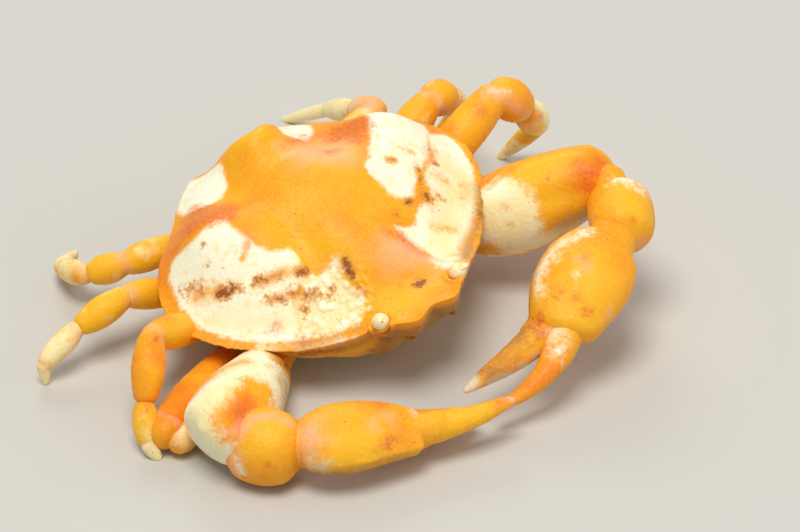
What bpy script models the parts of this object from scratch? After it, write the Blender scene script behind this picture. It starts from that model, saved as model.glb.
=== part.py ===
"""A pebble crab at life size, standing still and leaning on the wrist of its right claw arm.

The crab's own frame, in millimetres: origin in the middle of the body at the height of the side margins,
-Y the way the crab faces, +X its left, +Z up through its back.
The standing frame is the same one leaned over and lifted, with the floor at z = 0.
"""

import math

import bmesh
import bpy
import numpy as np
from mathutils import Matrix, Vector

MM = 0.001
GAP = 0.3
CLEARANCE = 0.37
SHARP_ANGLE = math.radians(50)
MERGE = 1e-4

# How the crab stands: it leans towards its front right, onto the wrist of its right claw arm.
LEAN = math.radians(15)
LEAN_HEADING = math.radians(40)
BODY_HEIGHT = 3.95

# Half of the shield's margin, from the middle of the front to the middle of the back: x, y, z.
MARGIN = (
    (0.0, -7.0, 2.05),
    (1.0, -7.3, 2.15),
    (1.75, -6.8, 2.0),
    (2.3, -6.15, 1.6),
    (3.1, -5.7, 1.1),
    (4.8, -4.5, 0.5),
    (6.1, -3.1, 0.15),
    (7.2, -1.7, 0.05),
    (7.85, 0.0, 0.0),
    (7.6, 1.7, 0.0),
    (6.5, 3.2, 0.1),
    (5.0, 4.35, 0.05),
    (3.5, 5.65, -0.2),
    (2.3, 6.3, -0.2),
    (1.2, 6.2, -0.25),
    (0.0, 6.0, -0.25),
)
DOME_HEIGHT = 2.7
DOME_CENTRE_Y = 0.9
DOME_HALF_WIDTH = 8.0
DOME_REACH_FRONT = 7.5
DOME_REACH_BACK = 6.9
DOME_FULLNESS = 0.72
MARGIN_PULL = 3.2
MARGIN_FADE = 8
SHIELD_SIDES = 64
SHIELD_RINGS = 11
RING_CROWDING = 1.35

# Swellings and grooves of the shield: x, y, height, spread across, spread along, and how flat-topped each is.
# Those off the middle are mirrored.
REGIONS = (
    (0.0, -1.9, 0.5, 1.5, 1.9, 1.25),
    (0.0, 1.5, 0.4, 1.3, 1.1, 1.25),
    (0.0, 5.45, 2.25, 1.28, 0.98, 1.7),
    (0.0, 3.9, 0.65, 1.2, 0.5, 1.25),
    (4.6, 1.2, 0.75, 1.8, 2.1, 1.25),
    (5.5, 2.5, 0.75, 1.25, 1.25, 1.25),
    (3.3, 5.0, 0.3, 1.1, 0.8, 1.25),
    (2.2, -2.2, -0.32, 0.55, 1.9, 1.25),
    (2.4, 3.1, -0.5, 0.9, 1.0, 1.25),
    (3.9, -3.7, -0.3, 1.0, 0.8, 1.25),
    (0.0, -6.3, 0.35, 1.3, 0.7, 1.25),
    (0.0, -4.9, -0.2, 1.5, 0.7, 1.25),
)

# Profiles under the margin, at the side and back, and in front: share of the way out from the middle,
# and height. The last number in front is how far forward the face reaches.
SIDE_PROFILE = (
    (1.0, 0.0),
    (0.975, -0.22),
    (0.93, -0.36),
    (0.85, -0.44),
    (0.74, -0.6),
    (0.6, -0.85),
    (0.46, -1.1),
    (0.0, -1.1),
)
FRONT_PROFILE = (
    (1.0, 0.0, 8.0),
    (0.945, -0.35, 6.5),
    (0.92, -0.8, 6.25),
    (0.915, -1.2, 6.05),
    (0.85, -1.4, 5.6),
    (0.74, -1.55, 5.1),
    (0.58, -1.65, 4.1),
    (0.0, -1.1, 8.0),
)
FRONT_SPREAD = math.radians(52)
FRONT_DROP = 0.45
FACE_SOFTNESS = 0.15

EYE = (2.08, -6.12, 1.72)
EYE_RADIUS = 0.38
EYE_STALK_RADIUS = 0.25
EYE_STALK_LENGTH = 0.3
EYE_STALK_WAY = (-0.35, 0.75, -0.55)
ORBIT_RADIUS = EYE_RADIUS + GAP

# The breastplate and the folded tail under the body: y, half width.
BREAST = ((-2.55, 2.6), (-1.6, 3.5), (0.4, 3.7), (2.4, 3.1), (3.7, 2.3), (4.3, 1.6))
BREAST_TOP = -1.4
BREAST_BOTTOM = -2.95
BREAST_EDGE = 0.55
BREAST_CROWN = 0.12
TAIL_PATH = (
    (0.0, 4.95, -1.75),
    (0.0, 4.75, -2.6),
    (0.0, 3.9, -2.98),
    (0.0, 2.0, -3.02),
    (0.0, 0.4, -3.0),
    (0.0, -1.0, -2.92),
)
TAIL_HALF_WIDTHS = (1.5, 1.55, 1.5, 1.2, 0.8, 0.35)
TAIL_HALF_THICKNESS = 0.32
TAIL_NOTCH = 0.92

# The two outer mouthparts, which together close the mouth like a pair of doors: y, half width, height.
MOUTH = (
    (-5.9, 0.5, -0.75),
    (-5.5, 0.85, -1.25),
    (-4.8, 1.15, -1.7),
    (-4.0, 1.35, -2.0),
    (-3.1, 1.3, -2.3),
)
MOUTH_THICKNESS = 0.6
MOUTH_CLEARANCE = 0.45
MOUTH_DEPTH = 2.0
FEELER_ROOT = (1.0, -6.2, 0.3)
FEELER_TIP = (1.1, -7.2, 0.8)
FEELER_RADIUS = 0.26

# The claw arms, in the crab's frame, for each side: the left one is held up, and the right one leans
# on the floor.
ARM_ROOT = (3.95, -1.95, -2.1)
ARM_MIDDLE = {1: (6.6, -2.65, -1.8), -1: (-6.3, -3.2, -1.42)}
ARM_BOW = {1: (0.0, 0.0, 0.0), -1: (-0.66, -0.82, 0.95)}
ARM_ROOT_RADII = (0.75, 0.9, 0.85)
ARM_RADII = {1: (1.05, 1.93, 1.15), -1: (1.05, 1.75, 1.3)}
ARM_PEAK = {1: 0.39, -1: 0.55}
ARM_PAST_ELBOW = {1: 0.5, -1: 1.0}
ELBOW = {1: (11.0, -5.3, 0.8), -1: (-10.5, -5.55, 0.7)}
WRIST = {1: (9.85, -7.75, 0.9), -1: (-9.33, -7.45, 0.67)}
WRIST_HALF_LENGTH = 1.6
WRIST_RADII = {1: (1.2, 1.42, 1.0), -1: (1.2, 1.6, 1.05)}
PALM_START = (8.5, -8.85, 1.1)
PALM_END = (3.75, -10.85, 0.35)
PALM_BOW = {1: (-0.05, 0.4, 0.15), -1: (0.0, 0.25, 0.15)}
PALM_RADII = {1: (1.25, 2.08, 1.25), -1: (1.1, 1.66, 0.98)}
PALM_PEAK = {1: 0.45, -1: 0.38}
PALM_FLATNESS = 0.66
FINGER_FLATNESS = 0.85
FIXED_FINGER_RADII = ((0.0, 1.0), (0.25, 0.72), (0.6, 0.5), (0.9, 0.24), (1.0, 0.1))
MOVING_FINGER_RADII = ((0.0, 0.5), (0.12, 0.7), (0.3, 0.6), (0.6, 0.42), (0.92, 0.22), (1.0, 0.1))
FIXED_FINGER = {
    1: ((4.5, -10.1, 0.45), (2.9, -10.15, 0.3), (1.3, -10.28, 0.3), (-0.1, -10.27, 0.3), (-1.15, -10.3, 0.3)),
    -1: ((-4.4, -10.0, 0.0), (-3.0, -10.35, -0.35), (-2.2, -10.6, -0.45), (-1.5, -10.85, -0.5),
         (-0.95, -11.1, -0.5)),
}
MOVING_FINGER = {
    1: ((3.5, -11.1, 0.35), (2.9, -11.4, 0.25), (1.95, -11.65, 0.05), (0.75, -11.6, -0.25),
        (-0.4, -11.36, -0.35)),
    -1: ((-3.5, -10.85, 0.35), (-2.65, -11.2, 0.38), (-1.6, -11.65, 0.45), (-0.38, -11.9, 0.47),
         (0.22, -12.0, 0.38)),
}
SIDES = {1: "left", -1: "right"}

# The walking legs, front to back. Each hip is at the edge of the breastplate and each thigh starts
# beyond it, in the crab's frame. The knee, wrist, ankle and tip are in the standing frame, tips on the floor.
HIP_Z = -2.15
HIP_GAP = 0.42
LEG_RADII = {
    "hip": (0.55, 0.68, 0.55),
    "thigh": (0.5, 0.7, 0.56),
    "knee": (0.48, 0.68, 0.5),
    "shin": (0.4, 0.54, 0.38),
    "toe": (0.32, 0.34, 0.14),
}
LEGS = (
    {"hip_y": -0.55, "thigh": (5.7, -0.85, -2.3), "size": 1.05, "girth": {1: 1.0, -1: 1.0},
     "right": ((-11.2, -2.9, 1.0), (-11.1, -3.95, 0.75), (-9.9, -3.3, 0.45), (-9.0, -2.75)),
     "left": ((10.6, -0.3, 2.5), (12.1, 0.3, 1.6), (12.6, 1.0, 0.8), (12.3, 1.5))},
    {"hip_y": 0.85, "thigh": (5.7, 0.95, -2.25), "size": 1.0, "girth": {1: 1.28, -1: 1.0},
     "right": ((-9.9, -0.7, 3.8), (-11.4, -2.1, 1.6), (-12.0, -3.0, 0.6), (-11.8, -3.5)),
     "left": ((10.66, 1.23, 6.2), (12.3, 1.05, 4.6), (13.9, 2.1, 2.6), (13.5, 4.2))},
    {"hip_y": 2.2, "thigh": (5.3, 2.85, -2.1), "size": 1.0, "girth": {1: 1.15, -1: 0.92},
     "right": ((-8.2, 3.4, 2.8), (-10.6, 3.75, 1.9), (-12.3, 3.75, 0.95), (-12.3, 3.65)),
     "left": ((8.9, 3.6, 5.4), (10.5, 4.2, 4.5), (11.9, 5.4, 2.4), (11.7, 6.9))},
    {"hip_y": 3.5, "thigh": (4.15, 4.9, -1.75), "size": 0.95, "girth": {1: 1.0, -1: 1.0},
     "right": ((-6.3, 6.0, 2.15), (-7.7, 7.0, 1.65), (-7.4, 9.2, 0.8), (-5.6, 10.5)),
     "left": ((7.6, 5.7, 4.25), (8.0, 7.9, 3.0), (8.5, 10.3, 1.6), (7.95, 12.8))},
)

COLOURS = {
    "shell_orange": ((0.93, 0.46, 0.08), 0.42),
    "shell_cream": ((0.95, 0.84, 0.62), 0.42),
    "eye_cream": ((0.93, 0.9, 0.8), 0.2),
}


def side_of(point, side):
    """The point as it is for side 1, the crab's left, or mirrored for side -1."""
    return np.array([point[0] * side, point[1], point[2]], float)


def lean_matrix():
    """The turn that lowers the crab's front right."""
    heading = Vector((-math.sin(LEAN_HEADING), -math.cos(LEAN_HEADING), 0))
    axis = Vector((-heading.y, heading.x, 0))
    return np.array(Matrix.Rotation(LEAN, 3, axis))


LEAN_TURN = lean_matrix()


def stand(points):
    """Points of the crab's own frame in the standing frame."""
    return np.atleast_2d(points) @ LEAN_TURN.T + np.array([0, 0, BODY_HEIGHT])


def unit(vector):
    return vector / max(np.linalg.norm(vector), 1e-12)


def spline(points, places, closed=False):
    """Points of a Catmull-Rom curve through points, at places counted in spans."""
    points = np.array(points, float)
    count = len(points)
    out = []
    for place in places:
        span = int(math.floor(place))
        if not closed:
            span = min(max(span, 0), count - 2)
        t = place - span
        rows = [span - 1, span, span + 1, span + 2]
        if closed:
            p0, p1, p2, p3 = (points[row % count] for row in rows)
        else:
            p1, p2 = points[span], points[span + 1]
            p0 = points[span - 1] if span > 0 else 2 * p1 - p2
            p3 = points[span + 2] if span + 2 < count else 2 * p2 - p1
        out.append(0.5 * (2 * p1 + (p2 - p0) * t + (2 * p0 - 5 * p1 + 4 * p2 - p3) * t * t
                          + (3 * p1 - p0 - 3 * p2 + p3) * t ** 3))
    return np.array(out)


def margin_loop(count):
    """The whole margin as count points, evenly spread by angle round the body's middle, front middle first."""
    half = np.array(MARGIN, float)
    other = half[-2:0:-1] * np.array([-1, 1, 1])
    fine = spline(np.vstack([half, other]), np.linspace(0, len(half) * 2 - 2, 721)[:-1], closed=True)
    angle = np.unwrap(np.arctan2(fine[:, 0], -fine[:, 1]))
    wanted = np.linspace(0, 2 * math.pi, count, endpoint=False)
    angle = np.append(angle, angle[0] + 2 * math.pi)
    fine = np.vstack([fine, fine[:1]])
    return wanted, np.stack([np.interp(wanted, angle, fine[:, axis]) for axis in range(3)], 1)


def dome_height(x, y):
    """Height of the smooth dome of the back, before the margin pulls it in."""
    reach = np.where(y < DOME_CENTRE_Y, DOME_REACH_FRONT, DOME_REACH_BACK)
    out = (x / DOME_HALF_WIDTH) ** 2 + ((y - DOME_CENTRE_Y) / reach) ** 2
    return DOME_HEIGHT * np.clip(1 - out, 0, 1) ** DOME_FULLNESS


def region_height(x, y):
    """Height that the swellings and grooves add."""
    total = np.zeros_like(x)
    for at_x, at_y, height, across, along, roundness in REGIONS:
        for side in ((1, -1) if at_x else (1,)):
            far = ((x - side * at_x) / across) ** 2 + ((y - at_y) / along) ** 2
            total += height * np.exp(-0.5 * far ** roundness)
    return total


def back_point(margin, share):
    """Points of the back, share of the way from the middle to the margin."""
    x = margin[:, 0] * share
    y = margin[:, 1] * share
    pull = share ** MARGIN_PULL
    fade = 1 - share ** MARGIN_FADE
    z = (1 - pull) * dome_height(x, y) + pull * margin[:, 2] + fade * region_height(x, y)
    return np.stack([x, y, z], 1)


def under_point(margin, angle, step):
    """Points of the wall under the margin, at a step of the two profiles."""
    share_side, z_side = SIDE_PROFILE[step]
    share_front, z_front, reach = FRONT_PROFILE[step]
    away = np.abs((angle + math.pi) % (2 * math.pi) - math.pi)
    front = np.exp(-(away / FRONT_SPREAD) ** 4)
    share = share_side + (share_front - share_side) * front
    last = len(SIDE_PROFILE) - 1
    level = margin[:, 2] * (1 - step / last) ** 2 * (1 - FRONT_DROP * front)
    z = level + z_side + (z_front - z_side) * front
    forward = -margin[:, 1] * share
    forward = forward - FACE_SOFTNESS * np.logaddexp(0, (forward - reach) / FACE_SOFTNESS)
    return np.stack([margin[:, 0] * share, -forward, z], 1)


def shield_rings(count, steps):
    """Rings of the shield from the middle of the back, over the margin, to the middle underneath."""
    angle, margin = margin_loop(count)
    rings = [back_point(margin, 1 - (1 - (k + 1) / steps) ** RING_CROWDING) for k in range(steps)]
    rings += [under_point(margin, angle, step) for step in range(1, len(SIDE_PROFILE) - 1)]
    top = np.array([[0, 0, back_point(margin[:1], 0.0)[0, 2]]])
    bottom = np.array([[0, 0, SIDE_PROFILE[-1][1]]])
    return top, rings, bottom


def closed_rings(first, rings, last):
    """A closed mesh from a first point, rings of points and a last point."""
    count = len(rings[0])
    points = np.vstack([first] + list(rings) + [last])
    faces = [(0, 1 + (k + 1) % count, 1 + k) for k in range(count)]
    for row in range(len(rings) - 1):
        start = 1 + row * count
        for k in range(count):
            after = (k + 1) % count
            faces.append((start + k, start + after, start + count + after, start + count + k))
    start, end = 1 + (len(rings) - 1) * count, len(points) - 1
    faces += [(start + k, start + (k + 1) % count, end) for k in range(count)]
    return points, faces


def tube(path, wide, thick, up, sides):
    """A closed tube along path, with half widths and half thicknesses at its points, these along up."""
    path = np.array(path, float)
    rings = []
    for k, point in enumerate(path):
        along = unit(path[min(k + 1, len(path) - 1)] - path[max(k - 1, 0)])
        across = unit(np.cross(along, up))
        rise = np.cross(across, along)
        turn = np.linspace(0, 2 * math.pi, sides, endpoint=False)
        flat = np.outer(np.cos(turn) * wide[k], across)
        rings.append(point + flat + np.outer(np.sin(turn) * thick[k], rise))
    return closed_rings(path[:1], rings, path[-1:])


SWELL_PLACES = (0.0, 0.07, 0.25, 0.45, 0.65, 0.85, 0.95, 1.0)


def swell(root, peak, end, peak_at, place):
    """Radius at place along a joint piece, rounded off at its two ends."""
    if place < peak_at:
        t = place / peak_at
        radius = root + (peak - root) * math.sin(t * math.pi / 2)
    else:
        t = (place - peak_at) / (1 - peak_at)
        radius = end + (peak - end) * math.cos(t * math.pi / 2)
    nearest_end = min(place, 1 - place)
    return radius * (0.62 if nearest_end < 0.01 else 0.9 if nearest_end < 0.06 else 1.0)


def joint_piece(start, end, radii, peak_at=0.5, flat=1.0, up=(0, 0, 1), bow=(0, 0, 0), sides=8,
                round_end=False):
    """One limb segment from start to end: root, peak and end radii, its middle moved by bow."""
    start, end, bow = (np.array(v, float) for v in (start, end, bow))
    path = [start + (end - start) * t + bow * 4 * t * (1 - t) for t in SWELL_PLACES]
    wide = [swell(*radii, peak_at, t) for t in SWELL_PLACES]
    if round_end:
        wide[-1] *= 0.5
    return tube(path, wide, [w * flat for w in wide], np.array(up, float), sides)


def grown(point, towards, amount):
    """A point moved by amount away from another point."""
    point, towards = np.array(point, float), np.array(towards, float)
    return point + unit(point - towards) * amount


def clear_scene():
    for thing in list(bpy.data.objects):
        bpy.data.objects.remove(thing)
    for mesh in list(bpy.data.meshes):
        bpy.data.meshes.remove(mesh)


def make_materials():
    made = {}
    for name, (colour, roughness) in COLOURS.items():
        material = bpy.data.materials.new(name)
        material.use_nodes = True
        shader = material.node_tree.nodes["Principled BSDF"]
        shader.inputs["Base Color"].default_value = (*colour, 1)
        shader.inputs["Roughness"].default_value = roughness
        shader.inputs["Metallic"].default_value = 0.0
        made[name] = material
    return made


def loose_object(name, shape, collection):
    """An object of a closed mesh, in millimetres, with its faces pointing out."""
    points, faces = shape
    mesh = bpy.data.meshes.new(name)
    mesh.from_pydata([tuple(p) for p in points], [], [tuple(int(i) for i in f) for f in faces])
    bm = bmesh.new()
    bm.from_mesh(mesh)
    bmesh.ops.recalc_face_normals(bm, faces=bm.faces)
    bm.to_mesh(mesh)
    bm.free()
    thing = bpy.data.objects.new(name, mesh)
    collection.objects.link(thing)
    return thing


def boolean_mesh(base, others, operation):
    """The mesh of base after one Boolean with the others, whose collection is then removed."""
    group = bpy.data.collections.new("pieces")
    bpy.context.scene.collection.children.link(group)
    for k, shape in enumerate(others):
        loose_object(f"piece_{k}", shape, group)
    modifier = base.modifiers.new("join", "BOOLEAN")
    modifier.operation = operation
    modifier.operand_type = "COLLECTION"
    modifier.collection = group
    modifier.solver = "EXACT"
    bpy.context.view_layer.update()
    mesh = bpy.data.meshes.new_from_object(base.evaluated_get(bpy.context.evaluated_depsgraph_get()))
    base.modifiers.clear()
    old, base.data = base.data, mesh
    bpy.data.meshes.remove(old)
    for thing in list(group.objects):
        bpy.data.objects.remove(thing)
    bpy.data.collections.remove(group)


def keep_largest(bm):
    """Deletes every closed surface but the largest."""
    left, islands = set(bm.verts), []
    while left:
        stack, island = [left.pop()], []
        while stack:
            vert = stack.pop()
            island.append(vert)
            for edge in vert.link_edges:
                other = edge.other_vert(vert)
                if other in left:
                    left.remove(other)
                    stack.append(other)
        islands.append(island)
    islands.sort(key=len)
    for island in islands[:-1]:
        bmesh.ops.delete(bm, geom=island, context="VERTS")


def cut_at_floor(bm):
    """Cuts off what reaches under the floor and closes the cut as a small flat."""
    everything = list(bm.verts) + list(bm.edges) + list(bm.faces)
    cut = bmesh.ops.bisect_plane(bm, geom=everything, plane_co=(0, 0, 0), plane_no=(0, 0, 1), clear_inner=True)
    rim = [item for item in cut["geom_cut"] if isinstance(item, bmesh.types.BMEdge)]
    if rim:
        bmesh.ops.edgeloop_fill(bm, edges=rim)


def make_node(name, pieces, material, origin, cutters=(), floor=False):
    """One named solid: its pieces joined, cutters taken away, cut at the floor, in metres about its origin."""
    thing = loose_object(name, pieces[0], bpy.context.scene.collection)
    if len(pieces) > 1:
        boolean_mesh(thing, pieces[1:], "UNION")
    if cutters:
        boolean_mesh(thing, cutters, "DIFFERENCE")
    bm = bmesh.new()
    bm.from_mesh(thing.data)
    if floor:
        cut_at_floor(bm)
    keep_largest(bm)
    bmesh.ops.remove_doubles(bm, verts=bm.verts, dist=MERGE)
    bmesh.ops.dissolve_degenerate(bm, edges=bm.edges, dist=MERGE)
    bmesh.ops.triangulate(bm, faces=bm.faces)
    bmesh.ops.recalc_face_normals(bm, faces=bm.faces)
    place = Vector([float(v) for v in origin])
    bmesh.ops.transform(bm, matrix=Matrix.Scale(MM, 4) @ Matrix.Translation(-place), verts=bm.verts)
    bm.to_mesh(thing.data)
    bm.free()
    thing.data.materials.clear()
    thing.data.materials.append(material)
    thing.data.shade_smooth()
    thing.data.set_sharp_from_angle(angle=SHARP_ANGLE)
    thing.location = place * MM
    return thing


def standing(shape):
    points, faces = shape
    return stand(points), faces


def ball(centre, radius, sides=10, stacks=7):
    """A ball as a closed mesh."""
    centre = np.array(centre, float)
    rings = []
    for k in range(1, stacks):
        tilt = math.pi * k / stacks
        turn = np.linspace(0, 2 * math.pi, sides, endpoint=False)
        flat = np.stack([np.cos(turn), np.sin(turn), np.zeros(sides)], 1) * math.sin(tilt)
        rings.append(centre + radius * (flat + np.array([0, 0, math.cos(tilt)])))
    return closed_rings(centre + [[0, 0, radius]], rings, centre - [[0, 0, radius]])


def mouth_stations(reach):
    """Stations of the mouthparts from the front: y, half width, height, drawn out by reach at both ends."""
    rows = spline(MOUTH, np.linspace(0, len(MOUTH) - 1, 9))
    forward = np.array([reach, 0, 0])
    return np.vstack([rows[0] - forward, rows, rows[-1] + forward]) if reach else rows


def mouth_door(side):
    """One of the pair of mouthparts, a plate with a crowned outer face and a groove along it."""
    rings = []
    for y, half, z in mouth_stations(0):
        inner, top = GAP / 2, z + MOUTH_THICKNESS
        corners = [(inner, z - 0.1), (half * 0.5, z - 0.16), (half * 0.62, z), (half * 0.8, z - 0.1),
                   (half, z + 0.08), (half, top), (inner, top)]
        rings.append(np.array([(side * x, y, height) for x, height in corners]))
    return closed_rings(rings[0].mean(0, keepdims=True), rings, rings[-1].mean(0, keepdims=True))


def mouth_recess():
    """What is cut from the shield so that both mouthparts clear it."""
    rings = []
    for y, half, z in mouth_stations(GAP * 2):
        out, top, low = half + MOUTH_CLEARANCE, z + MOUTH_THICKNESS + MOUTH_CLEARANCE, z - MOUTH_DEPTH
        rings.append(np.array([(-out, y, top), (out, y, top), (out + 0.1, y, low), (-out - 0.1, y, low)]))
    return closed_rings(rings[0].mean(0, keepdims=True), rings, rings[-1].mean(0, keepdims=True))


def breast_plate():
    """The breastplate that the legs grow from, with rounded lower edges."""
    stations = spline([(y, half, 0) for y, half in BREAST], np.linspace(0, len(BREAST) - 1, 11))
    rings = []
    for y, half, _ in stations:
        edge, low = BREAST_BOTTOM + BREAST_EDGE + BREAST_CROWN, BREAST_BOTTOM + BREAST_CROWN
        right_half = [(half, BREAST_TOP), (half, edge), (half - BREAST_EDGE, low), (half * 0.4, BREAST_BOTTOM)]
        corners = right_half + [(-x, z) for x, z in reversed(right_half)]
        rings.append(np.array([(x, y, z) for x, z in corners]))
    return closed_rings(rings[0].mean(0, keepdims=True), rings, rings[-1].mean(0, keepdims=True))


def tail_plate(extra):
    """The narrow tail folded under the body, grown by extra all round."""
    places = np.linspace(0, len(TAIL_PATH) - 1, 13)
    path = spline(TAIL_PATH, places)
    half = spline([(w, 0, 0) for w in TAIL_HALF_WIDTHS], places)[:, 0]
    notch = np.array([1.0 if k % 2 else TAIL_NOTCH for k in range(len(places))])
    wide = half * notch + extra
    thick = np.full(len(places), TAIL_HALF_THICKNESS + extra) * notch
    for k in (0, -1):
        thick[k] *= 0.7
        path[k] = grown(path[k], path[1 if k == 0 else -2], extra)
    return tube(path, wide, thick, np.array([0, 0.2, 1.0]), 10)


def eye_pieces(side):
    centre = side_of(EYE, side)
    inwards = unit(side_of(EYE_STALK_WAY, side))
    end = centre + inwards * (EYE_RADIUS + EYE_STALK_LENGTH)
    stalk = joint_piece(centre, end, (EYE_STALK_RADIUS,) * 3, up=(0, 1, 0.3))
    return [ball(centre, EYE_RADIUS), stalk], end


def eye_cutters(side):
    """The pit that each eye sits in."""
    centre = side_of(EYE, side)
    _, end = eye_pieces(side)
    hole = joint_piece(centre, grown(end, centre, GAP), (EYE_STALK_RADIUS + GAP,) * 3, up=(0, 1, 0.3))
    return [ball(centre, ORBIT_RADIUS, 12, 9), hole]


def feeler(side):
    return joint_piece(side_of(FEELER_ROOT, side), side_of(FEELER_TIP, side),
                       (FEELER_RADIUS, FEELER_RADIUS, FEELER_RADIUS * 0.5), 0.3, sides=6, round_end=True)


def arm_shapes(side):
    """The pieces of one claw arm by node name, with the place of each node's origin."""
    root, palm_start, palm_end = (side_of(p, side) for p in (ARM_ROOT, PALM_START, PALM_END))
    middle, elbow, wrist = (np.array(places[side]) for places in (ARM_MIDDLE, ELBOW, WRIST))
    along = unit(palm_start - elbow) * WRIST_HALF_LENGTH
    return {
        "arm": ([joint_piece(root, grown(middle, root, 0.5), ARM_ROOT_RADII, sides=10),
                 joint_piece(grown(middle, elbow, 1.1), grown(elbow, middle, ARM_PAST_ELBOW[side]),
                             ARM_RADII[side], ARM_PEAK[side], bow=ARM_BOW[side], sides=14)], root),
        "wrist": ([joint_piece(wrist - along, wrist + along, WRIST_RADII[side], sides=14)], elbow),
        "hand": (hand_pieces(side, palm_start, palm_end), palm_start),
        "finger": (finger_pieces(side), palm_end),
    }


def hand_pieces(side, palm_start, palm_end):
    """The palm and its fixed finger, on the side of the body."""
    palm = joint_piece(palm_start, palm_end, PALM_RADII[side], PALM_PEAK[side], PALM_FLATNESS,
                       bow=side_of(PALM_BOW[side], side), sides=14)
    return [palm, finger_shape(FIXED_FINGER[side], FIXED_FINGER_RADII, 8)]


def finger_shape(points, radii, rings, sides=8):
    """A tapered finger along points, with radii at shares of its length."""
    path = spline(points, np.linspace(0, len(points) - 1, rings))
    wide = np.interp(np.linspace(0, 1, rings), *zip(*radii))
    return tube(path, wide, wide * FINGER_FLATNESS, np.array([0, 0, 1.0]), sides)


def finger_pieces(side):
    """The moving finger, on the outer side."""
    return [finger_shape(MOVING_FINGER[side], MOVING_FINGER_RADII, 10)]


def leg_shapes(side, leg):
    """The upper and lower solids of one walking leg, in the standing frame."""
    row = LEGS[leg]
    size = row["size"]
    places = row[SIDES[side]]
    knee, wrist, ankle = (np.array(p, float) for p in places[:3])
    tip = np.array([*places[3], 0.0])
    edge = np.interp(row["hip_y"], [y for y, _ in BREAST], [half for _, half in BREAST])
    hip = stand(side_of((edge + HIP_GAP, row["hip_y"], HIP_Z), side))[0]
    thigh = stand(side_of(row["thigh"], side))[0]
    radii = {part: tuple(radius * size * (1 if part == "hip" else row["girth"][side]) for radius in of)
             for part, of in LEG_RADII.items()}
    upper = [
        joint_piece(hip, grown(thigh, hip, 0.25 * size), radii["hip"]),
        joint_piece(grown(thigh, knee, 0.2 * size), grown(knee, thigh, 0.2 * size), radii["thigh"], 0.6,
                    sides=10),
        joint_piece(grown(knee, wrist, 0.3 * size), grown(wrist, knee, -0.1 * size), radii["knee"], sides=10),
    ]
    lower = [
        joint_piece(grown(wrist, ankle, 0.05), grown(ankle, wrist, 0.15 * size), radii["shin"], 0.45),
        joint_piece(grown(ankle, tip, 0.15 * size), grown(tip, ankle, 0.1), radii["toe"], 0.2,
                    round_end=True),
    ]
    return upper, lower, hip, wrist


def grow(shape, amount):
    """The shape with every point moved out along the mean normal of its faces."""
    points, faces = shape
    normals = np.zeros_like(points)
    for face in faces:
        for k in range(1, len(face) - 1):
            a, b, c = face[0], face[k], face[k + 1]
            normal = np.cross(points[b] - points[a], points[c] - points[a])
            for corner in (a, b, c):
                normals[corner] += normal
    lengths = np.linalg.norm(normals, axis=1, keepdims=True)
    normals /= np.maximum(lengths, 1e-12)
    centre = points.mean(0)
    if np.sum((points - centre) * normals) < 0:
        normals = -normals
    return points + normals * amount, faces


def build():
    clear_scene()
    materials = make_materials()
    orange, cream = materials["shell_orange"], materials["shell_cream"]
    made = []

    def add(name, pieces, material, origin, cutters=(), floor=False):
        made.append(make_node(name, pieces, material, origin, cutters, floor))

    shield = closed_rings(*shield_rings(SHIELD_SIDES, SHIELD_RINGS))
    around_shield, around_breast = (standing(grow(shape, CLEARANCE)) for shape in (shield, breast_plate()))
    body = [around_shield, around_breast]
    eyes = {side: eye_pieces(side)[0] for side in SIDES}
    pits = [standing(c) for side in SIDES for c in eye_cutters(side)]
    arms = {side: arm_shapes(side) for side in SIDES}

    add("carapace", [standing(shield)], cream, (0, 0, BODY_HEIGHT), [standing(mouth_recess())] + pits)
    add("breastplate", [standing(breast_plate())], cream, stand((0, 0, BREAST_TOP))[0],
        [standing(tail_plate(CLEARANCE)), around_shield])
    add("tail", [standing(tail_plate(0))], cream, stand(TAIL_PATH[0])[0], [around_shield])
    for side, word in SIDES.items():
        add(f"mouthpart_{word}", [standing(mouth_door(side))], orange,
            stand(side_of((MOUTH[2][1], MOUTH[2][0], MOUTH[2][2]), side))[0])
        add(f"eye_{word}", [standing(piece) for piece in eyes[side]], materials["eye_cream"],
            stand(side_of(EYE, side))[0])
        add(f"feeler_{word}", [standing(feeler(side))], orange, stand(side_of(FEELER_ROOT, side))[0],
            [around_shield])
        legs = [leg_shapes(side, leg) for leg in range(len(LEGS))]
        names = list(arms[side])
        for k, name in enumerate(names):
            pieces, origin = arms[side][name]
            cutters = list(body)
            if name == "arm":
                cutters += [grow(piece, CLEARANCE) for piece in legs[0][0] + legs[0][1]]
            if k + 1 < len(names):
                cutters += [standing(grow(piece, CLEARANCE)) for piece in arms[side][names[k + 1]][0]]
            material = cream if name == "arm" else orange
            add(f"{name}_{word}", [standing(piece) for piece in pieces], material, stand(origin)[0], cutters,
                floor=True)
        for leg, (upper, lower, hip, wrist) in enumerate(legs):
            cutters = body + [grow(piece, CLEARANCE) for piece in lower]
            if leg + 1 < len(legs):
                behind = legs[leg + 1]
                cutters += [grow(piece, CLEARANCE) for piece in behind[0][:2] + behind[1]]
            add(f"leg_{leg + 1}_upper_{word}", upper, orange, hip, cutters, floor=True)
            add(f"leg_{leg + 1}_lower_{word}", lower, cream, wrist, floor=True)
    centre_on_floor(made)
    return made


def centre_on_floor(made):
    """Moves everything so that the middle of the whole crab's outline stands at x = y = 0."""
    corners = np.array([thing.matrix_basis @ vert.co for thing in made for vert in thing.data.vertices])
    middle = (corners.min(0) + corners.max(0)) / 2
    for thing in made:
        thing.location -= Vector((middle[0], middle[1], 0))


build()
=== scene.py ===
"""The looks of a life-size pebble crab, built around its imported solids.

The crab's own frame, in millimetres: origin in the middle of the body at the height of the side margins,
-Y the way the crab faces, +X its left, +Z up through its back.
The standing frame is the same one leaned over and lifted, with the floor at z = 0.
"""

import itertools
import math

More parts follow.
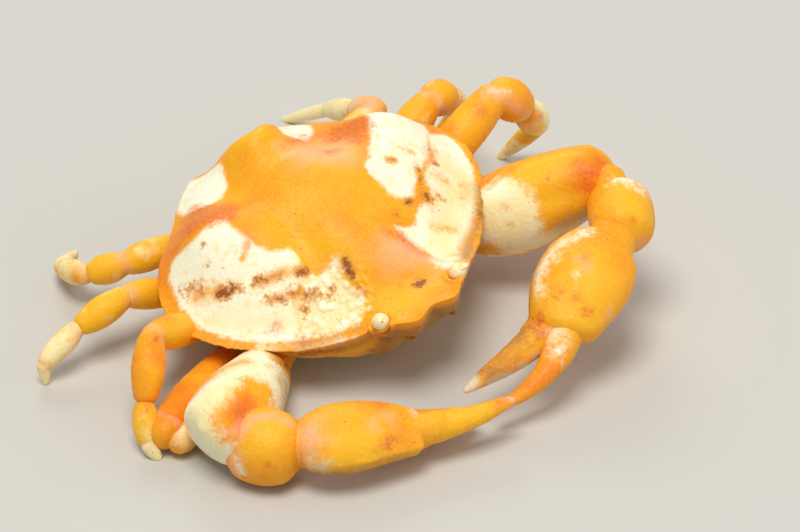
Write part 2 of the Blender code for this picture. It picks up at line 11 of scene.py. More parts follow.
import bmesh
import bpy
import numpy as np
from mathutils import Matrix, Vector


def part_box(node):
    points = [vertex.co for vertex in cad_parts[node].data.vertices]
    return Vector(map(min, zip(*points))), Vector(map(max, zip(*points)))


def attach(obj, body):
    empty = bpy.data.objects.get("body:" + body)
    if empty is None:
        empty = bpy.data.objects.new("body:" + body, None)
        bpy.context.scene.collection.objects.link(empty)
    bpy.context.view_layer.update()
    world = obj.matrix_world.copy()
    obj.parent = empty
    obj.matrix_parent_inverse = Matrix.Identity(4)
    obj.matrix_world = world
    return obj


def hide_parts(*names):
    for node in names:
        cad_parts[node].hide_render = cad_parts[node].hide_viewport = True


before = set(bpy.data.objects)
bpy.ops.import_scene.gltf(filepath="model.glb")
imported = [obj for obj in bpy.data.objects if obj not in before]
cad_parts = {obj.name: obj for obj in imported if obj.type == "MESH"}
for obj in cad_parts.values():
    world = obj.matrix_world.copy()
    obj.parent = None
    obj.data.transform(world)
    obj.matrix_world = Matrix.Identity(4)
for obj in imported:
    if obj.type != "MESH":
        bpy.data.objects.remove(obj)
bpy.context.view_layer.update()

MM = 0.001
BODY = "root"

# How the crab stands, as in the solids.
LEAN = math.radians(15)
LEAN_HEADING = math.radians(40)
BODY_HEIGHT = 3.95

# Half of the shield's margin, from the middle of the front to the middle of the back: x, y, z.
MARGIN = (
    (0.0, -7.0, 2.05),
    (1.0, -7.3, 2.15),
    (1.75, -6.8, 2.0),
    (2.3, -6.15, 1.6),
    (3.1, -5.7, 1.1),
    (4.8, -4.5, 0.5),
    (6.1, -3.1, 0.15),
    (7.2, -1.7, 0.05),
    (7.85, 0.0, 0.0),
    (7.6, 1.7, 0.0),
    (6.5, 3.2, 0.1),
    (5.0, 4.35, 0.05),
    (3.5, 5.65, -0.2),
    (2.3, 6.3, -0.2),
    (1.2, 6.2, -0.25),
    (0.0, 6.0, -0.25),
)
DOME_HEIGHT = 2.7
DOME_CENTRE_Y = 0.9
DOME_HALF_WIDTH = 8.0
DOME_REACH_FRONT = 7.5
DOME_REACH_BACK = 6.9
DOME_FULLNESS = 0.72
MARGIN_PULL = 3.2
MARGIN_FADE = 8
SOLID_SIDES = 64
SOLID_RINGS = 11
RING_CROWDING = 1.35

# Swellings and grooves of the shield: x, y, height, spread across, spread along, and how flat-topped each is.
# Those off the middle are mirrored.
REGIONS = (
    (0.0, -1.9, 0.5, 1.5, 1.9, 1.25),
    (0.0, 1.5, 0.4, 1.3, 1.1, 1.25),
    (0.0, 5.45, 2.25, 1.28, 0.98, 1.7),
    (0.0, 3.9, 0.65, 1.2, 0.5, 1.25),
    (4.6, 1.2, 0.75, 1.8, 2.1, 1.25),
    (5.5, 2.5, 0.75, 1.25, 1.25, 1.25),
    (3.3, 5.0, 0.3, 1.1, 0.8, 1.25),
    (2.2, -2.2, -0.32, 0.55, 1.9, 1.25),
    (2.4, 3.1, -0.5, 0.9, 1.0, 1.25),
    (3.9, -3.7, -0.3, 1.0, 0.8, 1.25),
    (0.0, -6.3, 0.35, 1.3, 0.7, 1.25),
    (0.0, -4.9, -0.2, 1.5, 0.7, 1.25),
)

# Profiles under the margin, at the side and back, and in front: share of the way out from the middle,
# and height. The last number in front is how far forward the face reaches.
SIDE_PROFILE = (
    (1.0, 0.0),
    (0.975, -0.22),
    (0.93, -0.36),
    (0.85, -0.44),
    (0.74, -0.6),
    (0.6, -0.85),
    (0.46, -1.1),
    (0.0, -1.1),
)
FRONT_PROFILE = (
    (1.0, 0.0, 8.0),
    (0.945, -0.35, 6.5),
    (0.92, -0.8, 6.25),
    (0.915, -1.2, 6.05),
    (0.85, -1.4, 5.6),
    (0.74, -1.55, 5.1),
    (0.58, -1.65, 4.1),
    (0.0, -1.1, 8.0),
)
FRONT_SPREAD = math.radians(52)
FRONT_DROP = 0.45
FACE_SOFTNESS = 0.15
# The step of the profiles down to which the wall under the margin has twice as many rings.
WALL_STEP = 3

EYE = (2.08, -6.12, 1.72)
EYE_RADIUS = 0.38
EYE_STALK_RADIUS = 0.25
EYE_STALK_LENGTH = 0.3
EYE_LOOK = (0.25, -0.6, 0.75)
EYE_RING_SHARE = 1.15
PUPIL_RADIUS = 0.035
STALK_UNDER_SHELL = (-0.15, 0.4, -0.9)

BREAST = ((-2.55, 2.6), (-1.6, 3.5), (0.4, 3.7), (2.4, 3.1), (3.7, 2.3), (4.3, 1.6))
BREAST_TOP = -1.4
BREAST_BOTTOM = -2.95
BREAST_EDGE = 0.55
BREAST_CROWN = 0.12
TAIL_PATH = (
    (0.0, 4.95, -1.75),
    (0.0, 4.75, -2.6),
    (0.0, 3.9, -2.98),
    (0.0, 2.0, -3.02),
    (0.0, 0.4, -3.0),
    (0.0, -1.0, -2.92),
)
TAIL_HALF_WIDTHS = (1.5, 1.55, 1.5, 1.2, 0.8, 0.35)
TAIL_HALF_THICKNESS = 0.32

MOUTH = (
    (-5.9, 0.5, -0.75),
    (-5.5, 0.85, -1.25),
    (-4.8, 1.15, -1.7),
    (-4.0, 1.35, -2.0),
    (-3.1, 1.3, -2.3),
)
MOUTH_THICKNESS = 0.6
MOUTH_GAP = 0.3
FEELER_ROOT = (1.0, -6.2, 0.3)
FEELER_TIP = (1.1, -7.2, 0.8)
FEELER_RADIUS = 0.26

# The groove under the front margin, the lobe below it, and the rim round each eye.
GROOVE_STEP = 0.5
GROOVE_SPREAD = 0.28
GROOVE_DEPTH = 0.12
LOBE_STEP = 1.6
LOBE_SPREAD = 0.8
LOBE_HEIGHT = 0.16
# Painted shade on the front face under the margin, between the eyes: its top, how far back it reaches, and
# its half width.
FACE_SHADE_TOP = 1.7
FACE_SHADE_Y = -5.5
FACE_SHADE_HALF_WIDTH = 2.1
SOCKET_RIM_OUT = 0.17
SOCKET_RIM_SPREAD = 0.11
SOCKET_RIM_HEIGHT = 0.13
SOCKET_GAP = 0.05
# In degrees off the front: where the lobe rises, where it falls, and where the groove runs out.
LOBE_RISE = (9, 15)
LOBE_FALL = (62, 48)
GROOVE_END = (95, 60)

# The claw arms, in the crab's frame, for each side.
ARM_ROOT = (3.95, -1.95, -2.1)
ARM_MIDDLE = {1: (6.6, -2.65, -1.8), -1: (-6.3, -3.2, -1.42)}
ARM_BOW = {1: (0.0, 0.0, 0.0), -1: (-0.66, -0.82, 0.95)}
ARM_ROOT_RADII = (0.75, 0.9, 0.85)
ARM_RADII = {1: (1.05, 1.93, 1.15), -1: (1.05, 1.75, 1.3)}
ARM_PEAK = {1: 0.39, -1: 0.55}
ARM_PAST_ELBOW = {1: 0.5, -1: 1.0}
ELBOW = {1: (11.0, -5.3, 0.8), -1: (-10.5, -5.55, 0.7)}
WRIST = {1: (9.85, -7.75, 0.9), -1: (-9.33, -7.45, 0.67)}
WRIST_HALF_LENGTH = 1.6
WRIST_STRETCH = 1.05
WRIST_RADII = {1: (1.2, 1.42, 1.0), -1: (1.2, 1.6, 1.05)}
PALM_START = (8.5, -8.85, 1.1)
PALM_END = (3.75, -10.85, 0.35)
PALM_BOW = {1: (-0.05, 0.4, 0.15), -1: (0.0, 0.25, 0.15)}
PALM_RADII = {1: (1.25, 2.08, 1.25), -1: (1.1, 1.66, 0.98)}
PALM_PEAK = {1: 0.45, -1: 0.38}
PALM_FLATNESS = 0.66
FINGER_FLATNESS = 0.85
FIXED_FINGER_RADII = ((0.0, 1.0), (0.25, 0.72), (0.6, 0.5), (0.9, 0.24), (1.0, 0.1))
MOVING_FINGER_RADII = ((0.0, 0.5), (0.12, 0.7), (0.3, 0.6), (0.6, 0.42), (0.92, 0.22), (1.0, 0.1))
FIXED_FINGER = {
    1: ((4.5, -10.1, 0.45), (2.9, -10.15, 0.3), (1.3, -10.28, 0.3), (-0.1, -10.27, 0.3), (-1.15, -10.3, 0.3)),
    -1: ((-4.4, -10.0, 0.0), (-3.0, -10.35, -0.35), (-2.2, -10.6, -0.45), (-1.5, -10.85, -0.5),
         (-0.95, -11.1, -0.5)),
}
MOVING_FINGER = {
    1: ((3.5, -11.1, 0.35), (2.9, -11.4, 0.25), (1.95, -11.65, 0.05), (0.75, -11.6, -0.25),
        (-0.4, -11.36, -0.35)),
    -1: ((-3.5, -10.85, 0.35), (-2.65, -11.2, 0.38), (-1.6, -11.65, 0.45), (-0.38, -11.9, 0.47),
         (0.22, -12.0, 0.38)),
}
SIDES = {1: "left", -1: "right"}
# Which way the cutting edge of each fixed finger faces, and how big its teeth are.
CUTTING_WAY = {1: (0.15, -1.0, -0.35), -1: (0.3, -0.9, 0.9)}
TOOTH_RADIUS = 0.1
# Shares of a finger's length at which its teeth start and end, and how many there are.
TOOTH_PLACES = (0.25, 0.93, 11)
# Swellings that round off the hands: a centre and a radius.
HAND_LOBES = {1: (), -1: (((-8.2, -9.1, 1.3), 0.6), ((-8.25, -9.4, 1.0), 0.62))}
# How far the arm's two parts run past each other, the soft skin at its root, and where necks meet the palm.
ARM_OVERLAP = (0.5, 1.1)
ARM_NECK_WAY = (-1.0, 0.4, 0.2)
ARM_NECK = 0.6
PALM_NECK_AT = 0.25
ELBOW_NECK = 0.8
WRIST_NECK = {1: 1.05, -1: 0.9}
FINGER_NECK = {1: 0.72, -1: 0.68}
HEEL_RADII = (1.25, 1.15, 0.66)
HEEL_FLATNESS = 0.62
# How far the heel runs back into the palm and on along the finger.
HEEL_REACH = (1.6, 0.5)
# How soon the palm's ends round off, as shares of their radii.
PALM_CAPS = (0.7, 0.4)
# How far a segment reaches into the one before it.
JOINT_OVERLAP = 0.2

# The walking legs, front to back. The thigh is in the crab's frame, the rest in the standing frame.
HIP_Z = -2.15
HIP_GAP = 0.42
LEG_RADII = {
    "hip": (0.55, 0.68, 0.55),
    "thigh": (0.46, 0.73, 0.46),
    "knee": (0.42, 0.72, 0.42),
    "shin": (0.34, 0.57, 0.32),
    "toe": (0.32, 0.34, 0.14),
}
# How far each part of a leg runs past the joint it starts from and the one it ends at.
LEG_OVERLAPS = {
    "hip": (0.5, 0.25),
    "thigh": (0.2, 0.2),
    "knee": (0.3, -0.1),
    "shin": (0.35, 0.15),
    "toe": (0.15, 0.1),
}
HIP_RISE = 0.3
HIP_NECK_LENGTH = 0.9
LEG_NECK_SHARE = 0.8
# How much paler and yellower than the first each pair is.
LEG_LIGHTNESS = (0.05, 0.1, 0.25, 0.5)
LEGS = (
    {"hip_y": -0.55, "thigh": (5.7, -0.85, -2.3), "size": 1.05, "girth": {1: 1.0, -1: 1.0},
     "right": ((-11.2, -2.9, 1.0), (-11.1, -3.95, 0.75), (-9.9, -3.3, 0.45), (-9.0, -2.75)),
     "left": ((10.6, -0.3, 2.5), (12.1, 0.3, 1.6), (12.6, 1.0, 0.8), (12.3, 1.5))},
    {"hip_y": 0.85, "thigh": (5.7, 0.95, -2.25), "size": 1.0, "girth": {1: 1.28, -1: 1.0},
     "right": ((-9.9, -0.7, 3.8), (-11.4, -2.1, 1.6), (-12.0, -3.0, 0.6), (-11.8, -3.5)),
     "left": ((10.66, 1.23, 6.2), (12.3, 1.05, 4.6), (13.9, 2.1, 2.6), (13.5, 4.2))},
    {"hip_y": 2.2, "thigh": (5.3, 2.85, -2.1), "size": 1.0, "girth": {1: 1.15, -1: 0.92},
     "right": ((-8.2, 3.4, 2.8), (-10.6, 3.75, 1.9), (-12.3, 3.75, 0.95), (-12.3, 3.65)),
     "left": ((8.9, 3.6, 5.4), (10.5, 4.2, 4.5), (11.9, 5.4, 2.4), (11.7, 6.9))},
    {"hip_y": 3.5, "thigh": (4.15, 4.9, -1.75), "size": 0.95, "girth": {1: 1.0, -1: 1.0},
     "right": ((-6.3, 6.0, 2.15), (-7.7, 7.0, 1.65), (-7.4, 9.2, 0.8), (-5.6, 10.5)),
     "left": ((7.6, 5.7, 4.25), (8.0, 7.9, 3.0), (8.5, 10.3, 1.6), (7.95, 12.8))},
)

# How fine the surfaces are.
BACK_CELLS = 270
UNDER_RINGS = 42
LIP_RINGS = 10
LIMB_VOXEL = 0.045
LEG_VOXEL = 0.043
EYE_VOXEL = 0.025
LIMB_SIDES = 48
LIMB_RINGS = 48

# Relief of the shell: its grains, its beads and the grains at its margin, then its soft unevenness: size,
# height, seed.
GRAIN_SPACING = 0.2
GRAIN_HEIGHT = 0.013
BEAD_SPACING = 0.42
BEAD_HEIGHT = 0.1
MARGIN_GRAIN_SPACING = 0.24
MARGIN_GRAIN_HEIGHT = 0.05
MARGIN_GRAIN_FILL = 0.7
WAVES = ((0.8, 0.014, 9), (2.2, 0.03, 11))

# Colour patches of the back, as outlines in the crab's frame seen from above.
PALE_PATCHES = (
    ((5, 3.3), (6.3, 2.8), (7, 1.8), (5.9, 0.25), (5.4, -0.4), (4.4, -0.95), (3.9, -1.3), (3.15, -1.85),
     (2.55, -1.45), (2.4, -0.6), (2.3, 0.15), (2.85, 0.5), (3.5, 1.3), (4.3, 2.4)),
    ((6.5, 0.95), (7.45, 1.1), (7.62, 0.4), (7.45, -0.4), (7.05, -1.4), (6.4, -2.4), (5.5, -3.35),
     (4.4, -4.3),
     (3.3, -5.1), (2.4, -5), (1.95, -3.9), (1.55, -2.95), (2.5, -2.85), (3.2, -2.35), (3.95, -2.3),
     (4.15, -1.7), (4.7, -1.05), (5.5, -0.6), (5.85, 0.1)),
    ((-4.2, 1.8), (-4.05, 0.9), (-3.7, -0.5), (-2.7, -1.15), (-2.8, -1.7), (-2.7, -2.3), (-1.75, -2.8),
     (-1.6, -4), (-1.75, -4.9), (-2.6, -5.2), (-3.5, -4.85), (-4.6, -3.95), (-5.7, -3.05), (-6.55, -2),
     (-7.15, -0.9), (-7.3, 0.4), (-7, 1.7), (-6.3, 2.5), (-5.6, 2.1)),
    ((-1.6, 5.2), (-2, 4.2), (-2.5, 3.8), (-3.4, 3.75), (-4.1, 4.5), (-3.7, 5.5), (-2.4, 6.3)),
    ((1.35, 4.3), (1.9, 3.7), (2.6, 4), (3, 4.8), (2.9, 5.9), (1.9, 6.3), (1.4, 5.4)),
)
RED_PATCHES = (
    ((-3.9, 4.2), (-3.5, 3.6), (-2.9, 3), (-3.4, 2), (-3.9, 1.6), (-4.7, 2.1), (-5.3, 2.5), (-5.1, 3.2)),
    ((3.2, 3.6), (4.1, 3), (4.2, 2.2), (3.4, 1.4), (3, 1.5), (3.1, 2.2), (2.7, 3)),
)
PEACH_PATCHES = (
    ((0.4, 3.4), (2, 3.6), (3, 2.2), (2.2, 0.6), (0.9, 1.2), (0.3, 2.2)),
    ((0.4, -3.2), (1, -3.5), (2, -4.5), (2.5, -5.2), (0.6, -4.5), (-0.2, -4)),
)
YELLOW_PATCHES = (
    ((-0.6, -4.9), (0.2, -5.4), (-0.2, -6.6), (-1.3, -6.5), (-1.5, -5.4)),
    ((-2.2, -1), (-1.4, -1.2), (-1, -2.2), (-1.4, -2.5), (-2.2, -1.8)),
    ((-1.4, 5.2), (-1.1, 5.9), (0.3, 5.9), (0.8, 4.9), (0.2, 4.3), (-1.2, 4.4)),
)
# Strokes on the back: colour, half width, softness, then places seen from above.
BACK_STROKES = (
    ("red", 0.17, 1.6, (1.72, 1.85), (1.95, 1.75)),
    ("red", 0.2, 2.5, (0.9, 3.6), (2.4, 3.9), (3.4, 3.5)),
    ("red", 0.14, 1.5, (0.93, -3.07), (1.33, -3.42)),
    ("red", 0.06, 2, (1.33, -3.42), (1.75, -4.2)),
    ("pink", 0.1, 3, (1.1, -3.5), (1.5, -4.3), (2.2, -4.9)),
    ("pale", 0.1, 1.2, (1.5, -3), (1.9, -4)),
    ("brown", 0.18, 1, (-1.4, -3), (-1.5, -3.5)),
    ("red", 0.1, 1.5, (-1.6, -4), (-1.55, -4.35)),
    ("pale", 0.14, 1.5, (-1.75, -2.7), (-1.95, -3.6)),
    ("red", 0.13, 1.6, (-5.1, -2.85), (-5.15, -2.8)),
    ("brown", 0.16, 1, (2.85, -1.95), (2.95, -2)),
    ("brown", 0.07, 1.3, (4.3, -0.95), (4.1, -1.3), (3.8, -1.8)),
    ("bare", 0.2, 2.5, (4.3, -1), (3.8, -2.2)),
    ("brown", 0.18, 1.3, (3.9, -1.95), (3.85, -2.15)),
    ("brown", 0.13, 1, (5.35, -0.82), (5.45, -0.8)),
    ("red", 0.12, 1.8, (5.42, -0.36), (5.7, -0.1)),
    ("peach", 0.2, 2.5, (5.2, -0.6), (5.9, 0.2), (6.4, 0.7)),
    ("yellow", 0.3, 2, (4.9, -1.5), (5.4, -1.9)),
    ("brown", 0.05, 1.6, (4.4, -2.2), (4.45, -2.25)),
    ("brown", 0.07, 2, (4.4, -2.2), (4.5, -2.3)),
    ("deep", 0.22, 1.8, (4.2, -3.1), (4.5, -3.2)),
    ("deep", 0.2, 2, (3.6, -2.55), (3.4, -2.8)),
    ("brown", 0.05, 2, (2.05, -2.3), (2.2, -2.1)),
    ("brown", 0.07, 1.4, (3.35, -0.15), (3.5, -0.25)),
    ("bare", 0.14, 2, (3.35, -0.1), (3.55, -0.25)),
    ("bare", 0.05, 3, (4.45, -0.05), (4.2, 0.2)),
    ("bare", 0.25, 2, (6.9, -2.1), (5.9, -3.3), (4.9, -4.1), (4.1, -4.5), (3.4, -5.1)),
    # Painted shade along the left front margin.
    ("film", 0.2, 2, (6.7, -2.3), (5.8, -3.4), (5, -4), (4.1, -4.6), (3.4, -5.2)),
    ("brown", 0.06, 2, (6.2, -2.9), (5.5, -3.6)),
    ("brown", 0.25, 1.1, (0.48, -5.52), (0.75, -5.44)),
    ("brown", 0.05, 2.5, (-6.85, 1.25), (-6.4, 0.45)),
    ("brown", 0.24, 1.3, (-5.95, -0.3), (-5.6, -0.65)),
    ("bare", 0.16, 2.5, (-6.6, 0.4), (-6, -0.2)),
    ("brown", 0.1, 1.5, (-5.7, -0.75), (-5.35, -0.9)),
    ("brown", 0.12, 1.4, (-4.7, -1.1), (-4.3, -1.35)),
    ("brown", 0.1, 1.6, (-4.1, -1.45), (-3.6, -1.55)),
    ("bare", 0.1, 2.5, (-4.6, -1.3), (-3.4, -1.8), (-2.8, -2)),
    ("brown", 0.22, 1.2, (-3.05, -1.95), (-2.85, -2.05)),
    ("brown", 0.1, 1.8, (-4.65, -1.95), (-4.2, -2.3)),
    ("brown", 0.13, 1.6, (-3.8, -2.35), (-3.45, -2.5)),
    ("bare", 0.04, 2, (-4.6, -2), (-3.6, -2.5)),
    ("brown", 0.12, 2, (-3.3, -2.85), (-2.9, -3.05)),
    ("brown", 0.1, 2, (-2.75, -3.5), (-2.4, -3.3)),
    ("brown", 0.05, 2, (-3.9, -3), (-3.7, -3.2)),
    ("red", 0.2, 2.5, (-5.2, 2.8), (-5.8, 2.8)),
    ("warm", 0.7, 3, (5.9, -0.9), (6.3, -2), (4.6, -2.6), (2.9, -4.3)),
    ("warm", 0.1, 3, (-6.6, -1), (-5.2, -2.4), (-3.6, -4)),
    ("bare", 0.08, 3, (4.9, -1.3), (5.3, -1.7)),
    ("bare", 0.04, 3, (5.6, -2.4), (6.2, -1.9)),
    ("bare", 0.04, 3, (3.4, -3.3), (4.2, -3.6)),
    ("bare", 0.08, 1.5, (-4.08, 0.1), (-4.6, -0.15)),
    ("red", 0.08, 2, (-4.05, 0.25), (-4.1, 0.2)),
    ("brown", 0.07, 1, (-5.35, 1.5), (-5.37, 1.48)),
    ("brown", 0.05, 1, (-5.62, 0.84), (-5.64, 0.82)),
    ("speck", 0.7, 2, (-0.9, -5.2), (-1, -5.9)),
    ("speck", 0.9, 2, (-4, -4.2), (-2.2, -4.9)),
    ("deep", 0.5, 4, (-7, 2.6), (-5.4, 3.6)),
    ("deep", 0.35, 3, (7.2, 1.5), (6.3, 2.9)),
    ("pale", 0.3, 2, (2.1, -4.9), (2.7, -5.6)),
    ("peach", 0.3, 2.5, (2.3, -4.6), (2.9, -5.3)),
)
BEADED = ((-3.1, -3.5), (-2.2, -4.1))
BEADED_REACH = 1.2
BEAD_GROUND = 0.3
BEAD_TOP = 0.75
# How soft the edges of the patches are.
RED_SOFTNESS = 1.6
PATCH_SOFTNESS = 2.5
# The steps down the profiles where the marks of the back end and where the pale of the underside starts.
BACK_MARKS_END = 0.2
UNDER_PALE_START = 4.0

